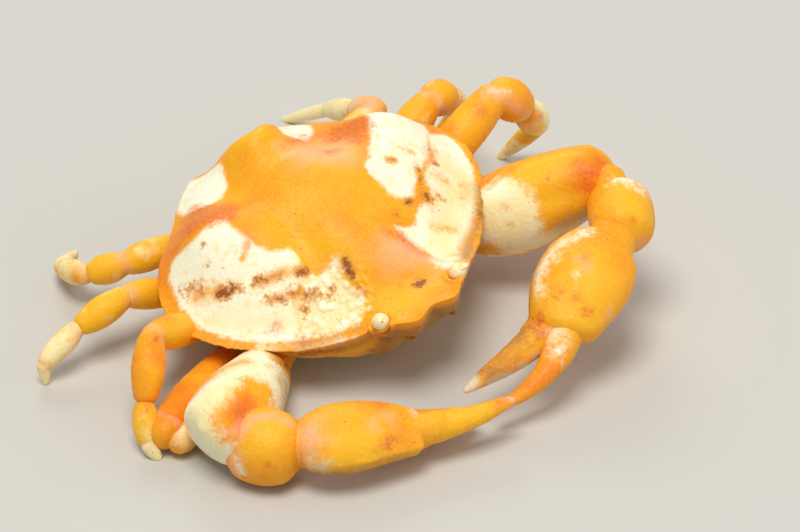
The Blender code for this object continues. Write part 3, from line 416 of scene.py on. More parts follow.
# Marks elsewhere: colour, half width, softness, then places in the crab's frame. "bare" takes the pale away.
SPACE_MARKS = {
    "carapace": (
        # Painted shade on the face under the front margin, between the eyes, and along the groove under the
        # right front margin.
        ("film", 0.75, 2, (-1.6, -5.6, -0.6), (0, -6.2, 0), (1.6, -6.1, 0)),
        ("film", 0.6, 2, (-1.4, -6.3, 0.6), (0, -6.9, 0.9), (1.2, -6.9, 1)),
        ("film", 0.25, 1.5, (-5.4, -3.9, 0), (-3.7, -5, 0.35), (-2.4, -5.8, 0.8), (-1.5, -6.4, 0.9)),
        ("brown", 0.12, 1.6, (0, -6.4, 0.35), (1, -6.3, 0.5)),
        ("brown", 0.14, 1.6, (0.1, -7, 1.4), (0.4, -7, 1)),
        ("pale", 0.1, 3, (0.8, -7, 1.4), (1.2, -6.8, 0.9)),
        ("pale", 0.06, 3, (-1.3, -6.7, 1.3), (-0.9, -6.6, 0.8)),
        ("red", 0.17, 1.5, (-2, -5.7, -0.6), (-1.8, -5.9, -0.5)),
        ("red", 0.2, 2.5, (-4.6, -4.2, 0.3), (-3.9, -4.8, 0.3)),
        ("yellow", 0.45, 2, (-3.6, -5.2, -0.1), (-2.6, -5.6, -0.1)),
        ("pale", 0.12, 2, (-6.2, -2.9, 0.3), (-4.9, -4.2, 0.62), (-3.2, -5.5, 1.15)),
        ("speck", 0.8, 2, (-4.4, -4.4, 0), (-2.6, -5.5, 0)),
        ("speck", 0.7, 2, (-0.6, -6.3, 0.4), (1.6, -6.2, 0.4)),
    ),
    "arm_right": (
        ("pale", 30, 1, (0, 0, 0)),
        ("bare", 0.95, 3, (-10.2, -6.7, 2.35), (-9.3, -6.5, 2.3), (-8.5, -6, 2)),
        ("deep", 0.55, 2.5, (-9.9, -6.7, 2.4), (-9.1, -6.35, 2.3)),
        ("red", 0.25, 3, (-9.7, -6.55, 2.4), (-9.3, -6.4, 2.35)),
        ("bare", 1.1, 3.5, (-4.6, -3.1, -1.2), (-5.3, -3.9, -0.8)),
        ("brown", 0.3, 4, (-5.2, -3.9, -0.9), (-5.9, -4.1, 0.1)),
        ("bare", 0.25, 2.5, (-10.4, -4.2, 1.7), (-9.1, -3.9, 1.7), (-7.6, -3.9, 1.4)),
        ("pink", 0.3, 3, (-10.4, -4.1, 1.6), (-9.1, -3.8, 1.6), (-7.6, -3.9, 1.4)),
        ("pink", 0.12, 1.5, (-10.7, -6.9, 2.15), (-9.6, -6.9, 2.2), (-8.6, -7, 2.1), (-7.9, -7.3, 1.6)),
        ("speck", 1.5, 2, (-7, -5, 0.9), (-7.4, -6, 0.2)),
        # Painted shade on the arm's front lower side.
        ("film", 0.5, 4, (-6.6, -5.4, 0), (-7.4, -6.2, -0.4)),
    ),
    "wrist_right": (
        ("yellow", 0.9, 3, (-9.9, -8, 2),),
        ("pink", 0.16, 1.6, (-10.6, -7.2, 1.9), (-9.6, -6.95, 2.2), (-8.8, -7.3, 2.2), (-8.1, -8.2, 1.9)),
        ("pink", 0.3, 2.5, (-11, -7.3, 1.3), (-11, -7.6, 0.7)),
        ("pale", 0.1, 1.6, (-10.9, -7.45, 1.25), (-10.85, -7.9, 0.6)),
        ("red", 0.1, 1.5, (-10.1, -8.7, 1.3),),
    ),
    "hand_right": (
        ("yellow", 1, 2.5, (-7.4, -10.5, 1.5), (-6.5, -10.6, 1.6)),
        ("pink", 0.22, 2, (-8.1, -9, 1.8), (-8, -8.9, 1.85)),
        ("pale", 0.15, 4, (-8.4, -9.95, 1.2)),
        ("red", 0.12, 2, (-4.8, -9.3, 1.5), (-4.6, -9.2, 1.4)),
        ("peach", 0.5, 2.5, (-8.5, -9.3, 1.4), (-8.1, -8.7, 1.7)),
        ("red", 0.2, 1.6, (-5.85, -10.95, 1.4), (-5.6, -10.95, 1.4)),
        ("peach", 0.16, 2, (-5, -10.1, 1.6),),
        ("peach", 0.16, 2, (-5.8, -10.1, 1.8),),
        ("pink", 0.16, 1.5, (-3.6, -9.9, 0.8), (-3.7, -10.4, 1.1), (-3.9, -11.1, 0.9)),
        ("pale", 0.1, 1.8, (-3.5, -10, 0.8), (-3.6, -10.5, 1)),
        # Painted shade along the palm's lower side.
        ("film", 0.4, 3, (-8.4, -9.9, 0.7), (-7.4, -11, 0.5), (-5.4, -11.6, 0.2)),
        ("speck", 0.9, 2, (-7, -8.4, 1.3), (-5.4, -8.6, 1.4)),
        ("speck", 0.5, 2, (-7.6, -10.8, 0.9), (-5, -11.5, 0.6)),
        ("chalk", 0.2, 2, (-1.2, -10.9, -0.5), (-0.9, -11.1, -0.5)),
    ),
    "finger_right": (
        ("yellow", 0.6, 3, (-2.6, -11.5, 0.8), (-1.4, -11.8, 0.9)),
        ("pink", 0.35, 2, (-3.6, -10.9, 0.4),),
        ("red", 0.12, 2, (-0.6, -11.8, 0.8),),
        ("pink", 0.3, 2, (0.1, -12, 0.4),),
        ("pale", 0.16, 2, (0.2, -12, 0.4),),
        ("speck", 0.6, 1.5, (-2.8, -11.8, 0.4), (-1.2, -12.1, 0.2)),
    ),
    "arm_left": (
        ("pale", 1.8, 2.2, (6, -3.5, -0.7), (6.6, -3.8, -0.4)),
        ("pale", 0.65, 2.5, (6.6, -5.2, -1.4), (8.2, -6.2, -0.9), (9.2, -6.6, -0.4)),
        ("yellow", 0.9, 3, (8.2, -3.4, 1.3), (9.4, -4.2, 1.6)),
        ("bare", 0.6, 3, (5.4, -3.6, -1.9), (5.7, -4.3, -1.7)),
        ("bare", 0.45, 2.5, (6.5, -1.9, -0.4), (7.3, -2.2, 0.6)),
        ("deep", 0.3, 2.5, (6.6, -2, -0.4), (7.4, -2.3, 0.7)),
        ("deep", 0.55, 3, (9.7, -5.3, 1.6), (10.6, -5.5, 1.7)),
        ("red", 0.3, 4, (9.9, -5.5, 1.6), (10.4, -5.6, 1.6)),
        # Painted shade on the arm's lower side.
        ("film", 0.35, 3, (8.5, -6.1, -0.3), (9.3, -6.3, -0.2)),
        ("yellow", 0.5, 2.5, (8, -4.9, 0.8), (8.9, -5.6, 0.7)),
        ("red", 0.07, 1.5, (6.78, -3.84, 0.36),),
        ("red", 0.07, 1.5, (6.56, -4.38, -0.23),),
        ("red", 0.08, 2, (7.98, -2.83, 0.86),),
        ("brown", 0.05, 2, (8.55, -4.44, 1.35),),
    ),
    "wrist_left": (
        ("yellow", 0.8, 3, (10, -7.8, 2.2), (9.7, -8.5, 2.1)),
        ("pale", 0.3, 4, (10.6, -6.9, 2.1), (10.9, -7.6, 1.7)),
        ("red", 0.06, 1.5, (9.35, -8.85, 1.95),),
        ("pink", 0.25, 2, (8.5, -7.2, 1), (8.3, -7.6, 1.2)),
        ("pink", 0.2, 2, (8.6, -9.2, 0.9), (9.4, -9.4, 0.9)),
    ),
    "hand_left": (
        ("yellow", 1.2, 3, (5.6, -10, 2), (5, -10.6, 1.7)),
        ("pale", 0.15, 4, (6.3, -7.9, 1.8), (5.2, -8.1, 1.6), (4.5, -8.55, 1.4), (4.2, -9, 1.2)),
        ("pale", 0.1, 4, (6.9, -8, 2), (7.6, -8.3, 2)),
        # Painted shade along the palm's edge nearest the body.
        ("film", 0.2, 2.5, (6.2, -7.6, 1.2), (5, -7.8, 1), (4.2, -8.4, 0.8), (3.5, -9.3, 0.6)),
        ("red", 0.13, 1.6, (6.43, -9.3, 2.22),),
        ("pink", 0.15, 2, (6.2, -9.3, 2.2), (6.1, -9.6, 2.1)),
        ("pale", 0.08, 1.5, (5.6, -9.66, 2.1),),
        ("red", 0.13, 1.8, (4.62, -9.75, 1.8),),
        ("brown", 0, 2, (4.35, -9.75, 1.7),),
        ("red", 0.08, 2, (4.9, -10.4, 1.75),),
        ("red", 0.1, 2, (4.95, -11, 1.5),),
        ("pink", 0.12, 2, (5.8, -11.5, 1),),
        ("red", 0.28, 2, (3.35, -9.9, 1.05), (3.05, -10.3, 0.9)),
        ("pink", 0.17, 1.6, (3.5, -10.5, 0.8), (3.9, -10.95, 0.3), (4.4, -11.3, -0.1)),
        ("pale", 0.1, 1.8, (3.4, -10.5, 0.7), (3.8, -10.95, 0.2)),
        ("brown", 0.16, 3, (4.7, -11.3, 0),),
        # Painted shade on the fixed finger.
        ("film", 0.5, 2, (2.6, -9.8, 0.5), (1.2, -10.3, 0.3), (0.2, -10.3, 0.4)),
        ("speck", 0.3, 2, (5, -10.8, 1.6), (6.2, -9.8, 2)),
        ("chalk", 0.16, 1.6, (2.4, -10.7, 0.3), (1.2, -10.8, 0.2), (0, -10.7, 0.2)),
        ("chalk", 0.36, 2, (-0.6, -10.3, 0.3), (-1.2, -10.3, 0.3)),
    ),
    "finger_left": (
        ("pink", 0.35, 2, (3.5, -11.1, 0.4),),
        ("pale", 0.12, 4, (3.7, -10.7, 0.9), (3.3, -11, 1), (3, -11.5, 0.8)),
        ("deep", 0.5, 4, (2.4, -11.9, 0.4), (1.2, -11.8, 0.2)),
        ("brown", 0.05, 1.6, (1.31, -11.64, 0.23),),
        ("brown", 0.05, 1.6, (1.2, -11.75, 0.1),),
        ("brown", 0.06, 2, (2.4, -12.2, 0.1),),
        ("speck", 0.5, 2, (2.2, -12.1, 0.1), (1, -12, -0.1)),
        ("chalk", 0.2, 2, (-0.5, -11.4, -0.35),),
    ),
    "leg_1_upper_right": (("deep", 0.6, 4, (-9.5, -2.2, -0.3), (-11.2, -3.4, 0.1)),),
    "leg_2_upper_right": (
        ("deep", 0.35, 2.5, (-10, -1.4, 1.9), (-10.3, -1.6, 1.6)),
        ("red", 0.09, 1.6, (-9.88, -1.08, 1.9),),
        ("yellow", 0.5, 3, (-10.8, -1.8, 1.4), (-11.2, -2.3, 0.9)),
    ),
    "leg_2_lower_right": (
        ("red", 0.2, 2, (-11.6, -2.6, 0.5),),
        ("pale", 0.1, 4, (-12.2, -3.3, 0), (-12.5, -3.8, -0.8)),
    ),
    "leg_2_upper_left": (
        ("pink", 0.2, 1.8, (10.2, 1.5, 0.8), (10.8, 1, 0.5), (11, 0.7, 0)),
        ("pale", 0.1, 1.8, (10.3, 1.5, 0.85), (10.9, 1, 0.5)),
        ("red", 0.15, 2, (9.4, 1, 0.4),),
    ),
    "leg_2_lower_left": (
        ("red", 0.2, 2, (12.3, 0.4, -1.3), (12.5, 0.5, -1.8)),
        ("pale", 0.7, 3, (13, 0.8, -1.5), (13.4, 1.2, -3.5)),
        ("yellow", 1.2, 2, (12.9, 1.6, -4), (12.8, 2.1, -5.8)),
    ),
    "leg_4_upper_left": (("pink", 0.6, 3, (7.2, 5.7, -1.5), (7.1, 7, -2.9)),
                         ("pale", 0.4, 3, (7.1, 6.8, -2.8),)),
    "leg_4_lower_left": (("pale", 1.5, 2, (7.2, 9.6, -5.6), (7.1, 11.5, -7.5)),),
}

# Ridges and hollows of the pieces: height, spread, then places in the crab's frame.
RELIEF = {
    "arm_right": (
        (-0.22, 0.7, (-9.8, -6.7, 2.4), (-8.9, -6.3, 2.2)),
        (0.1, 0.25, (-11.3, -5.9, 2), (-10.4, -5.5, 2.5), (-8.6, -5.2, 2.2)),
    ),
    "wrist_right": ((-0.1, 0.16, (-10.75, -6.9, 1.6), (-10.8, -7.7, 1), (-10.6, -8, 0.2)),),
    "hand_right": (
        (0.1, 0.16, (-8.6, -9.3, 1.15), (-7.9, -10.45, 1.25), (-6.9, -11, 1.15), (-5.65, -11.3, 0.95),
         (-4.4, -11.5, 0.6)),
        (-0.06, 0.2, (-8.2, -10.3, 0.8), (-7, -11.2, 0.8)),
        (-0.05, 0.14, (-3.95, -9.6, 0.9), (-4, -10.3, 1.3), (-4.2, -11.1, 1)),
    ),
    "finger_right": ((0.1, 0.12, (-2.3, -11, 0.75),), (0.06, 0.16, (-3.3, -11.2, 0.9),)),
    "arm_left": ((-0.15, 0.6, (7.9, -4.9, 0.8), (9.4, -5.7, 1)),
                 (0.08, 0.3, (8, -3.1, 1.1), (9.8, -4.2, 1.7))),
    "hand_left": (
        (0.07, 0.2, (6.4, -7.9, 1.8), (5, -8.2, 1.5), (4.1, -9, 1.2)),
        (-0.07, 0.14, (3.3, -10, 1), (3.7, -10.7, 0.9), (4.5, -11.3, 0.3)),
        (0.06, 0.3, (6, -9.2, 2.2), (5, -10.3, 1.9)),
    ),
    "finger_left": ((0.07, 0.15, (3.3, -11.4, 0.5),),),
    "leg_2_upper_right": ((-0.12, 0.13, (-9.9, -1.1, 1.95),),
                          (0.1, 0.3, (-9.6, -0.7, 2.1), (-10.1, -0.9, 1.95))),
}

ORANGE = (0.95, 0.325, 0.006)
ORANGE_LIGHT = (0.97, 0.44, 0.01)
ORANGE_DEEP = (0.9, 0.19, 0.008)
YELLOW = (0.97, 0.52, 0.015)
PEACH = (0.95, 0.5, 0.22)
PALE = (1.0, 0.98, 0.74)
PALE_WARM = (1.0, 0.78, 0.33)
RED = (0.76, 0.12, 0.02)
PINK = (0.97, 0.46, 0.33)
OCHRE = (0.7, 0.27, 0.03)
BROWN = (0.24, 0.055, 0.012)
# Brown of the painted shade, laid in hollows, under edges and on the shaded undersides.
PAINTED_SHADE_COLOUR = (0.24, 0.12, 0.03)
SPECK = (0.2, 0.09, 0.015)
CHALK = (0.66, 0.72, 0.58)
EYE_AMBER = (0.95, 0.7, 0.32)
EYE_CREAM = (0.98, 0.86, 0.55)
EYE_BLACK = (0.05, 0.025, 0.01)

# Which colours each attribute of a piece carries in its red, green and blue.
MARK_LAYERS = {
    "marks_a": ("pale", "red", "brown"),
    "marks_b": ("peach", "yellow", "pink"),
    # The middle channel of marks_c carries painted shade.
    "marks_c": ("deep", "film", "speck"),
    "marks_d": ("chalk", "grain", "warm"),
}


def side_of(point, side):
    """The point as it is for side 1, the crab's left, or mirrored for side -1."""
    return np.array([point[0] * side, point[1], point[2]], float)


def lean_matrix():
    """The turn that lowers the crab's front right."""
    heading = Vector((-math.sin(LEAN_HEADING), -math.cos(LEAN_HEADING), 0))
    axis = Vector((-heading.y, heading.x, 0))
    return np.array(Matrix.Rotation(LEAN, 3, axis))


LEAN_TURN = lean_matrix()


def stand(points):
    """Points of the crab's own frame in the standing frame."""
    return np.atleast_2d(points) @ LEAN_TURN.T + np.array([0, 0, BODY_HEIGHT])


def unstand(points):
    """Points of the standing frame in the crab's own frame."""
    return (np.atleast_2d(points) - np.array([0, 0, BODY_HEIGHT])) @ LEAN_TURN


def unit(vector):
    return vector / max(np.linalg.norm(vector), 1e-12)


def grown(point, towards, amount):
    """A point moved by amount away from another point."""
    point, towards = np.array(point, float), np.array(towards, float)
    return point + unit(point - towards) * amount


def smooth_step(low, high, value):
    t = np.clip((value - low) / (high - low), 0, 1)
    return t * t * (3 - 2 * t)


def spline(points, places, closed=False):
    """Points of a Catmull-Rom curve through points, at places counted in spans."""
    points, places = np.array(points, float), np.array(places, float)
    count = len(points)
    span = np.floor(places).astype(int)
    if not closed:
        span = np.clip(span, 0, count - 2)
        points = np.vstack([2 * points[0] - points[1], points, 2 * points[-1] - points[-2]])
        p0, p1, p2, p3 = (points[span + k] for k in range(4))
    else:
        p0, p1, p2, p3 = (points[(span + k) % count] for k in (-1, 0, 1, 2))
    t = (places - span)[:, None]
    return 0.5 * (2 * p1 + (p2 - p0) * t + (2 * p0 - 5 * p1 + 4 * p2 - p3) * t * t
                  + (3 * p1 - p0 - 3 * p2 + p3) * t ** 3)


# Randomness that depends only on place.


def hashed(cell, seed):
    """A steady random number from 0 to 1 for each whole-numbered cell."""
    return np.modf(np.abs(np.sin(cell @ np.array([127.1, 311.7, 74.7]) + seed * 17.31) * 43758.5453))[0]


def clouds(points, size, seed):
    """Soft noise from -1 to 1, with lumps about size across."""
    scaled = points / size
    base = np.floor(scaled)
    t = scaled - base
    t = t * t * (3 - 2 * t)
    total = np.zeros(len(points))
    for corner in itertools.product((0, 1), repeat=3):
        corner = np.array(corner)
        weight = np.prod(np.where(corner, t, 1 - t), 1)
        total += weight * hashed(base + corner, seed)
    return total * 2 - 1


def granules(points, spacing, seed, fill=0.62):
    """Height from 0 to 1 of round grains about spacing apart and of mixed sizes."""
    scaled = points / spacing
    base = np.floor(scaled)
    best = np.zeros(len(points))
    for offset in itertools.product((-1, 0, 1), repeat=3):
        cell = base + np.array(offset)
        jitter = np.stack([hashed(cell, seed + k) for k in range(3)], 1)
        size = fill * (0.55 + 0.45 * hashed(cell, seed + 3))
        far = np.sum((scaled - cell - 0.5 - 0.85 * (jitter - 0.5)) ** 2, 1) / size ** 2
        best = np.maximum(best, np.sqrt(np.clip(1 - far, 0, 1)) * size / fill)
    return best


# Fields of distance, in millimetres, over places on the back or in space.


def stroke_field(points, half_width, path):
    """How far inside a stroke of that half width along path each point is."""
    path = np.array(path, float)
    nearest = np.linalg.norm(points - path[0], axis=1)
    for start, end in zip(path[:-1], path[1:]):
        way = end - start
        t = np.clip((points - start) @ way / max(way @ way, 1e-9), 0, 1)
        nearest = np.minimum(nearest, np.linalg.norm(points - start - t[:, None] * way, axis=1))
    return half_width - nearest


def outline_field(points, outline):
    """How far inside a smooth closed outline each point is."""
    count = len(outline)
    loop = spline(outline, np.arange(0, count, 0.25), closed=True)
    after = np.roll(loop, -1, 0)
    inside = np.zeros(len(points), bool)
    for (x0, y0), (x1, y1) in zip(loop, after):
        crosses = (y0 > points[:, 1]) != (y1 > points[:, 1])
        reach = x0 + (points[:, 1] - y0) / (y1 - y0 if y1 != y0 else 1e-9) * (x1 - x0)
        inside ^= crosses & (points[:, 0] < reach)
    away = -stroke_field(points, 0.0, np.vstack([loop, loop[:1]]))
    return np.where(inside, away, -away)


def widest(fields, count):
    """The largest of several fields at each point."""
    return np.max(np.vstack([np.full(count, -9.0)] + list(fields)), axis=0)


# The shield.


def margin_table():
    """The whole margin as a fine table by angle round the body's middle, from the middle of the front."""
    half = np.array(MARGIN, float)
    other = half[-2:0:-1] * np.array([-1, 1, 1])
    fine = spline(np.vstack([half, other]), np.linspace(0, len(half) * 2 - 2, 721)[:-1], closed=True)
    angle = np.unwrap(np.arctan2(fine[:, 0], -fine[:, 1]))
    return np.append(angle, angle[0] + 2 * math.pi), np.vstack([fine, fine[:1]])


MARGIN_ANGLES, MARGIN_PLACES = margin_table()


def margin_at(angle):
    wrapped = np.mod(angle - MARGIN_ANGLES[0], 2 * math.pi) + MARGIN_ANGLES[0]
    return np.stack([np.interp(wrapped, MARGIN_ANGLES, MARGIN_PLACES[:, axis]) for axis in range(3)], 1)


def dome_height(x, y):
    """Height of the smooth dome of the back, before the margin pulls it in."""
    reach = np.where(y < DOME_CENTRE_Y, DOME_REACH_FRONT, DOME_REACH_BACK)
    out = (x / DOME_HALF_WIDTH) ** 2 + ((y - DOME_CENTRE_Y) / reach) ** 2
    return DOME_HEIGHT * np.clip(1 - out, 0, 1) ** DOME_FULLNESS


def region_height(x, y):
    """Height that the swellings and grooves add."""
    total = np.zeros_like(x)
    for at_x, at_y, height, across, along, roundness in REGIONS:
        for side in ((1, -1) if at_x else (1,)):
            far = ((x - side * at_x) / across) ** 2 + ((y - at_y) / along) ** 2
            total += height * np.exp(-0.5 * far ** roundness)
    return total


def back_point(margin, share):
    """Points of the back, share of the way from the middle to the margin."""
    x, y = margin[:, 0] * share, margin[:, 1] * share
    pull = share ** MARGIN_PULL
    rise = (1 - share ** MARGIN_FADE) * region_height(x, y)
    z = (1 - pull) * dome_height(x, y) + pull * margin[:, 2] + rise
    return np.stack([x, y, z], 1)


def under_point(margin, angle, step):
    """Points of the wall under the margin, at a step of the two profiles."""
    last = len(SIDE_PROFILE) - 1
    (share_side, z_side), (share_front, z_front, reach) = (spline(p, [step])[0]
                                                           for p in (SIDE_PROFILE, FRONT_PROFILE))
    away = np.abs((angle + math.pi) % (2 * math.pi) - math.pi)
    front = np.exp(-(away / FRONT_SPREAD) ** 4)
    share = share_side + (share_front - share_side) * front
    level = margin[:, 2] * (1 - step / last) ** 2 * (1 - FRONT_DROP * front)
    z = level + z_side + (z_front - z_side) * front
    forward = -margin[:, 1] * share
    forward = forward - FACE_SOFTNESS * np.logaddexp(0, (forward - reach) / FACE_SOFTNESS)
    return np.stack([margin[:, 0] * share, -forward, z], 1)


def solid_shield_corner():
    """The lowest x, y and z of the plain shield in the standing frame, as the solids have it."""
    angle = np.linspace(0, 2 * math.pi, SOLID_SIDES, endpoint=False)
    margin = margin_at(angle)
    rings = [back_point(margin, 1 - (1 - (k + 1) / SOLID_RINGS) ** RING_CROWDING) for k in range(SOLID_RINGS)]
    rings += [under_point(margin, angle, step) for step in range(1, len(SIDE_PROFILE) - 1)]
    return stand(np.vstack(rings)).min(0)


def row_offset():
    """What to add to places in the standing frame to get the row frame, in millimetres."""
    low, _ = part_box("carapace")
    offset = np.array(low) / MM - solid_shield_corner()
    offset[2] = 0
    return offset


OFFSET = row_offset()


def disc_places(cells):
    """A square grid drawn onto a disc: angle and share of its points, its faces, and its rim in order."""
    line = np.linspace(-1, 1, cells + 1)
    a, b = (grid.ravel() for grid in np.meshgrid(line, line, indexing="ij"))
    wide = np.abs(a) >= np.abs(b)
    safe_a, safe_b = np.where(a == 0, 1, a), np.where(b == 0, 1, b)
    turn = np.where(wide, math.pi / 4 * b / safe_a, math.pi / 2 - math.pi / 4 * a / safe_b)
    reach = np.where(wide, a, b)
    angle = np.where(reach < 0, turn + math.pi, turn)
    row = cells + 1
    index = np.arange(row * row).reshape(row, row)
    faces = np.stack([index[:-1, :-1], index[1:, :-1], index[1:, 1:], index[:-1, 1:]], -1).reshape(-1, 4)
    rim = np.concatenate([index[:-1, 0], index[-1, :-1], index[:0:-1, -1], index[0, :0:-1]])
    return angle, np.abs(reach), faces, rim


def shield_shape():
    """The shield's fine surface in the crab's frame: points, faces, share of the way out and depth under."""
    angle, share, faces, rim = disc_places(BACK_CELLS)
    points = [back_point(margin_at(angle), share)]
    upper = np.linspace(0, WALL_STEP, UNDER_RINGS * 2 // 3 + 1)[1:]
    lower = np.linspace(WALL_STEP, len(SIDE_PROFILE) - 2, UNDER_RINGS // 3 + 1)[1:]
    steps = np.concatenate([upper, lower])
    rim_angle = angle[rim]
    rim_margin = margin_at(rim_angle)
    count, depth = len(rim), [np.zeros(len(angle))]
    all_faces, before = [faces], rim
    start = len(angle)
    lip = np.linspace(0, steps[0], LIP_RINGS + 1)[1:-1]
    below = under_point(rim_margin, rim_angle, steps[0])
    for step in np.concatenate([lip, steps]):
        if step < steps[0]:
            points.append(rim_margin + (below - rim_margin) * step / steps[0])
        else:
            points.append(under_point(rim_margin, rim_angle, step))
        ring = start + np.arange(count)
        all_faces.append(np.stack([before, ring, np.roll(ring, -1), np.roll(before, -1)], 1))
        depth.append(np.full(count, step))
        before, start = ring, start + count
    points.append(np.array([[0, 0, SIDE_PROFILE[-1][1]]]))
    depth.append(np.array([len(SIDE_PROFILE) - 1.0]))
    fan = np.stack([before, np.full(count, start), np.roll(before, -1)], 1)
    share = np.concatenate([share, np.ones(len(rim) * (len(lip) + len(steps)) + 1)])
    faces = [tuple(f) for f in np.vstack(all_faces)] + [tuple(f) for f in fan]
    return np.vstack(points), faces, share, np.concatenate(depth)


# Meshes.


def mesh_of(name, points, faces):
    mesh = bpy.data.meshes.new(name)
    mesh.from_pydata([tuple(p) for p in points], [], [tuple(int(i) for i in f) for f in faces])
    bm = bmesh.new()
    bm.from_mesh(mesh)
    bmesh.ops.recalc_face_normals(bm, faces=bm.faces)
    bm.to_mesh(mesh)
    bm.free()
    return mesh


def points_of(mesh):
    flat = np.empty(len(mesh.vertices) * 3, np.float32)
    mesh.vertices.foreach_get("co", flat)
    return flat.reshape(-1, 3).astype(float)


def normals_of(mesh):
    flat = np.empty(len(mesh.vertices) * 3, np.float32)
    mesh.vertex_normals.foreach_get("vector", flat)
    return flat.reshape(-1, 3).astype(float)


def set_points(mesh, points):
    mesh.vertices.foreach_set("co", points.astype(np.float32).ravel())
    mesh.update()


def joined(shapes):
    """Several closed shapes as one list of points and faces."""
    points, faces, start = [], [], 0
    for shape_points, shape_faces in shapes:
        points.append(shape_points)
        faces += [tuple(i + start for i in face) for face in shape_faces]
        start += len(shape_points)
    return np.vstack(points), faces


def one_skin(name, shapes, voxel, smoothing):
    """One closed, even mesh round all the shapes, in the shapes' own units."""
    mesh = mesh_of(name, *joined(shapes))
    thing = bpy.data.objects.new(name, mesh)
    bpy.context.scene.collection.objects.link(thing)
    remesh = thing.modifiers.new("skin", "REMESH")
    remesh.mode = "VOXEL"
    remesh.voxel_size = voxel
    remesh.adaptivity = 0
    soften = thing.modifiers.new("soften", "SMOOTH")
    soften.factor = 0.5
    soften.iterations = smoothing
    bpy.context.view_layer.update()
    result = bpy.data.meshes.new_from_object(thing.evaluated_get(bpy.context.evaluated_depsgraph_get()))
    bpy.data.objects.remove(thing)
    bpy.data.meshes.remove(mesh)
    return result


def closed_rings(first, rings, last):
    """A closed mesh from a first point, rings of points and a last point."""
    count = len(rings[0])
    points = np.vstack([first] + list(rings) + [last])
    faces = [(0, 1 + (k + 1) % count, 1 + k) for k in range(count)]
    for row in range(len(rings) - 1):
        start = 1 + row * count
        for k in range(count):
            after = (k + 1) % count
            faces.append((start + k, start + after, start + count + after, start + count + k))
    start, end = 1 + (len(rings) - 1) * count, len(points) - 1
    faces += [(start + k, start + (k + 1) % count, end) for k in range(count)]
    return points, faces


def tube(path, wide, thick, up, sides=LIMB_SIDES):
    """A closed tube along path, with half widths and half thicknesses."""
    path = np.array(path, float)
    turn = np.linspace(0, 2 * math.pi, sides, endpoint=False)
    rings = []
    for k, point in enumerate(path):
        along = unit(path[min(k + 1, len(path) - 1)] - path[max(k - 1, 0)])
        across = unit(np.cross(along, up))
        rise = np.cross(across, along)
        flat = np.outer(np.cos(turn) * wide[k], across)
        rings.append(point + flat + np.outer(np.sin(turn) * thick[k], rise))
    return closed_rings(path[:1], rings[1:-1], path[-1:])


def swell(root, peak, end, peak_at, place):
    """Radius at places along a limb segment, before its ends are rounded."""
    rising = root + (peak - root) * np.sin(np.clip(place / peak_at, 0, 1) * math.pi / 2)
    falling = end + (peak - end) * np.cos(np.clip((place - peak_at) / (1 - peak_at), 0, 1) * math.pi / 2)
    return np.where(place < peak_at, rising, falling)


def segment(start, end, radii, peak_at=0.5, flat=1.0, up=(0, 0, 1), bow=(0, 0, 0), caps=(0.75, 0.75)):
    """One limb segment from start to end: root, peak and end radii, its middle moved by bow."""
    start, end, bow = (np.array(v, float) for v in (start, end, bow))
    place = (1 - np.cos(np.linspace(0, math.pi, LIMB_RINGS))) / 2
    path = start + np.outer(place, end - start) + np.outer(4 * place * (1 - place), bow)
    length = np.linalg.norm(end - start)
    wide = swell(*radii, peak_at, place)
    for radius, cap, away in ((radii[0], caps[0], place), (radii[2], caps[1], 1 - place)):
        inner = np.clip(away * length / (radius * cap), 0, 1)
        wide = wide * np.sqrt(1 - (1 - inner) ** 2)
    return tube(path, wide, wide * flat, np.array(up, float))


def ball(centre, radii, sides=32, stacks=20):
    """An egg-shaped ball as a closed mesh, with three radii."""
    centre, radii = np.array(centre, float), np.array(radii, float) * np.ones(3)
    turn = np.linspace(0, 2 * math.pi, sides, endpoint=False)
    rings = []
    for tilt in np.linspace(0, math.pi, stacks + 1)[1:-1]:
        level = np.full(sides, math.cos(tilt))
        ring = np.stack([np.cos(turn) * math.sin(tilt), np.sin(turn) * math.sin(tilt), level], 1)
        rings.append(centre + ring * radii)
    pole = np.array([[0, 0, radii[2]]])
    return closed_rings(centre + pole, rings, centre - pole)


def standing(shape):
    points, faces = shape
    return stand(points), faces


# Surface relief and colour marks, the same for every piece of shell.


def neutral_marks(count):
    """Fields of the colour marks, all far outside."""
    kinds = {kind for kinds in MARK_LAYERS.values() for kind in kinds}
    return {kind: np.full(count, -1.0) for kind in kinds}


def add_strokes(marks, points, strokes):
    """Strokes painted into the marks. A pale stroke grows the pale, a bare one takes it away."""
    for kind, half_width, softness, *path in strokes:
        field = stroke_field(points, half_width, path) / softness
        if kind == "bare":
            marks["pale"] = np.minimum(marks["pale"], -field)
        else:
            marks[kind] = np.maximum(marks[kind], field)


def ridges(node, points):
    """Heights of the ridges and hollows stated for a node."""
    total = np.zeros(len(points))
    for height, spread, *path in RELIEF.get(node, ()):
        total += height * np.exp(-(stroke_field(points, 0.0, path) / spread) ** 2)
    return total


def fine_relief(crab_points, strength=1.0):
    """Heights of the fine grains all over the shell, and how high up a grain each point is."""
    grain = granules(crab_points, GRAIN_SPACING, 3)
    wave = sum(clouds(crab_points, size, seed) * height for size, height, seed in WAVES)
    return strength * (GRAIN_HEIGHT * grain + wave), grain


def finish_piece(name, mesh, node, marks, grain, material):
    """Places a finished mesh, in millimetres in the standing frame, in the row frame in place of its node."""
    points = points_of(mesh) + OFFSET
    points[:, 2] = np.maximum(points[:, 2], 0)
    set_points(mesh, points * MM)
    for attribute, kinds in MARK_LAYERS.items():
        values = np.ones((len(points), 4), np.float32)
        for k, kind in enumerate(kinds):
            values[:, k] = grain if kind == "grain" else np.clip(marks[kind], -1, 1) * 0.5 + 0.5
        layer = mesh.attributes.new(attribute, "FLOAT_COLOR", "POINT")
        layer.data.foreach_set("color", values.ravel())
    mesh.shade_smooth()
    mesh.materials.clear()
    mesh.materials.append(material)
    thing = bpy.data.objects.new(name, mesh)
    bpy.context.scene.collection.objects.link(thing)
    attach(thing, BODY)
    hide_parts(node)


# Material.


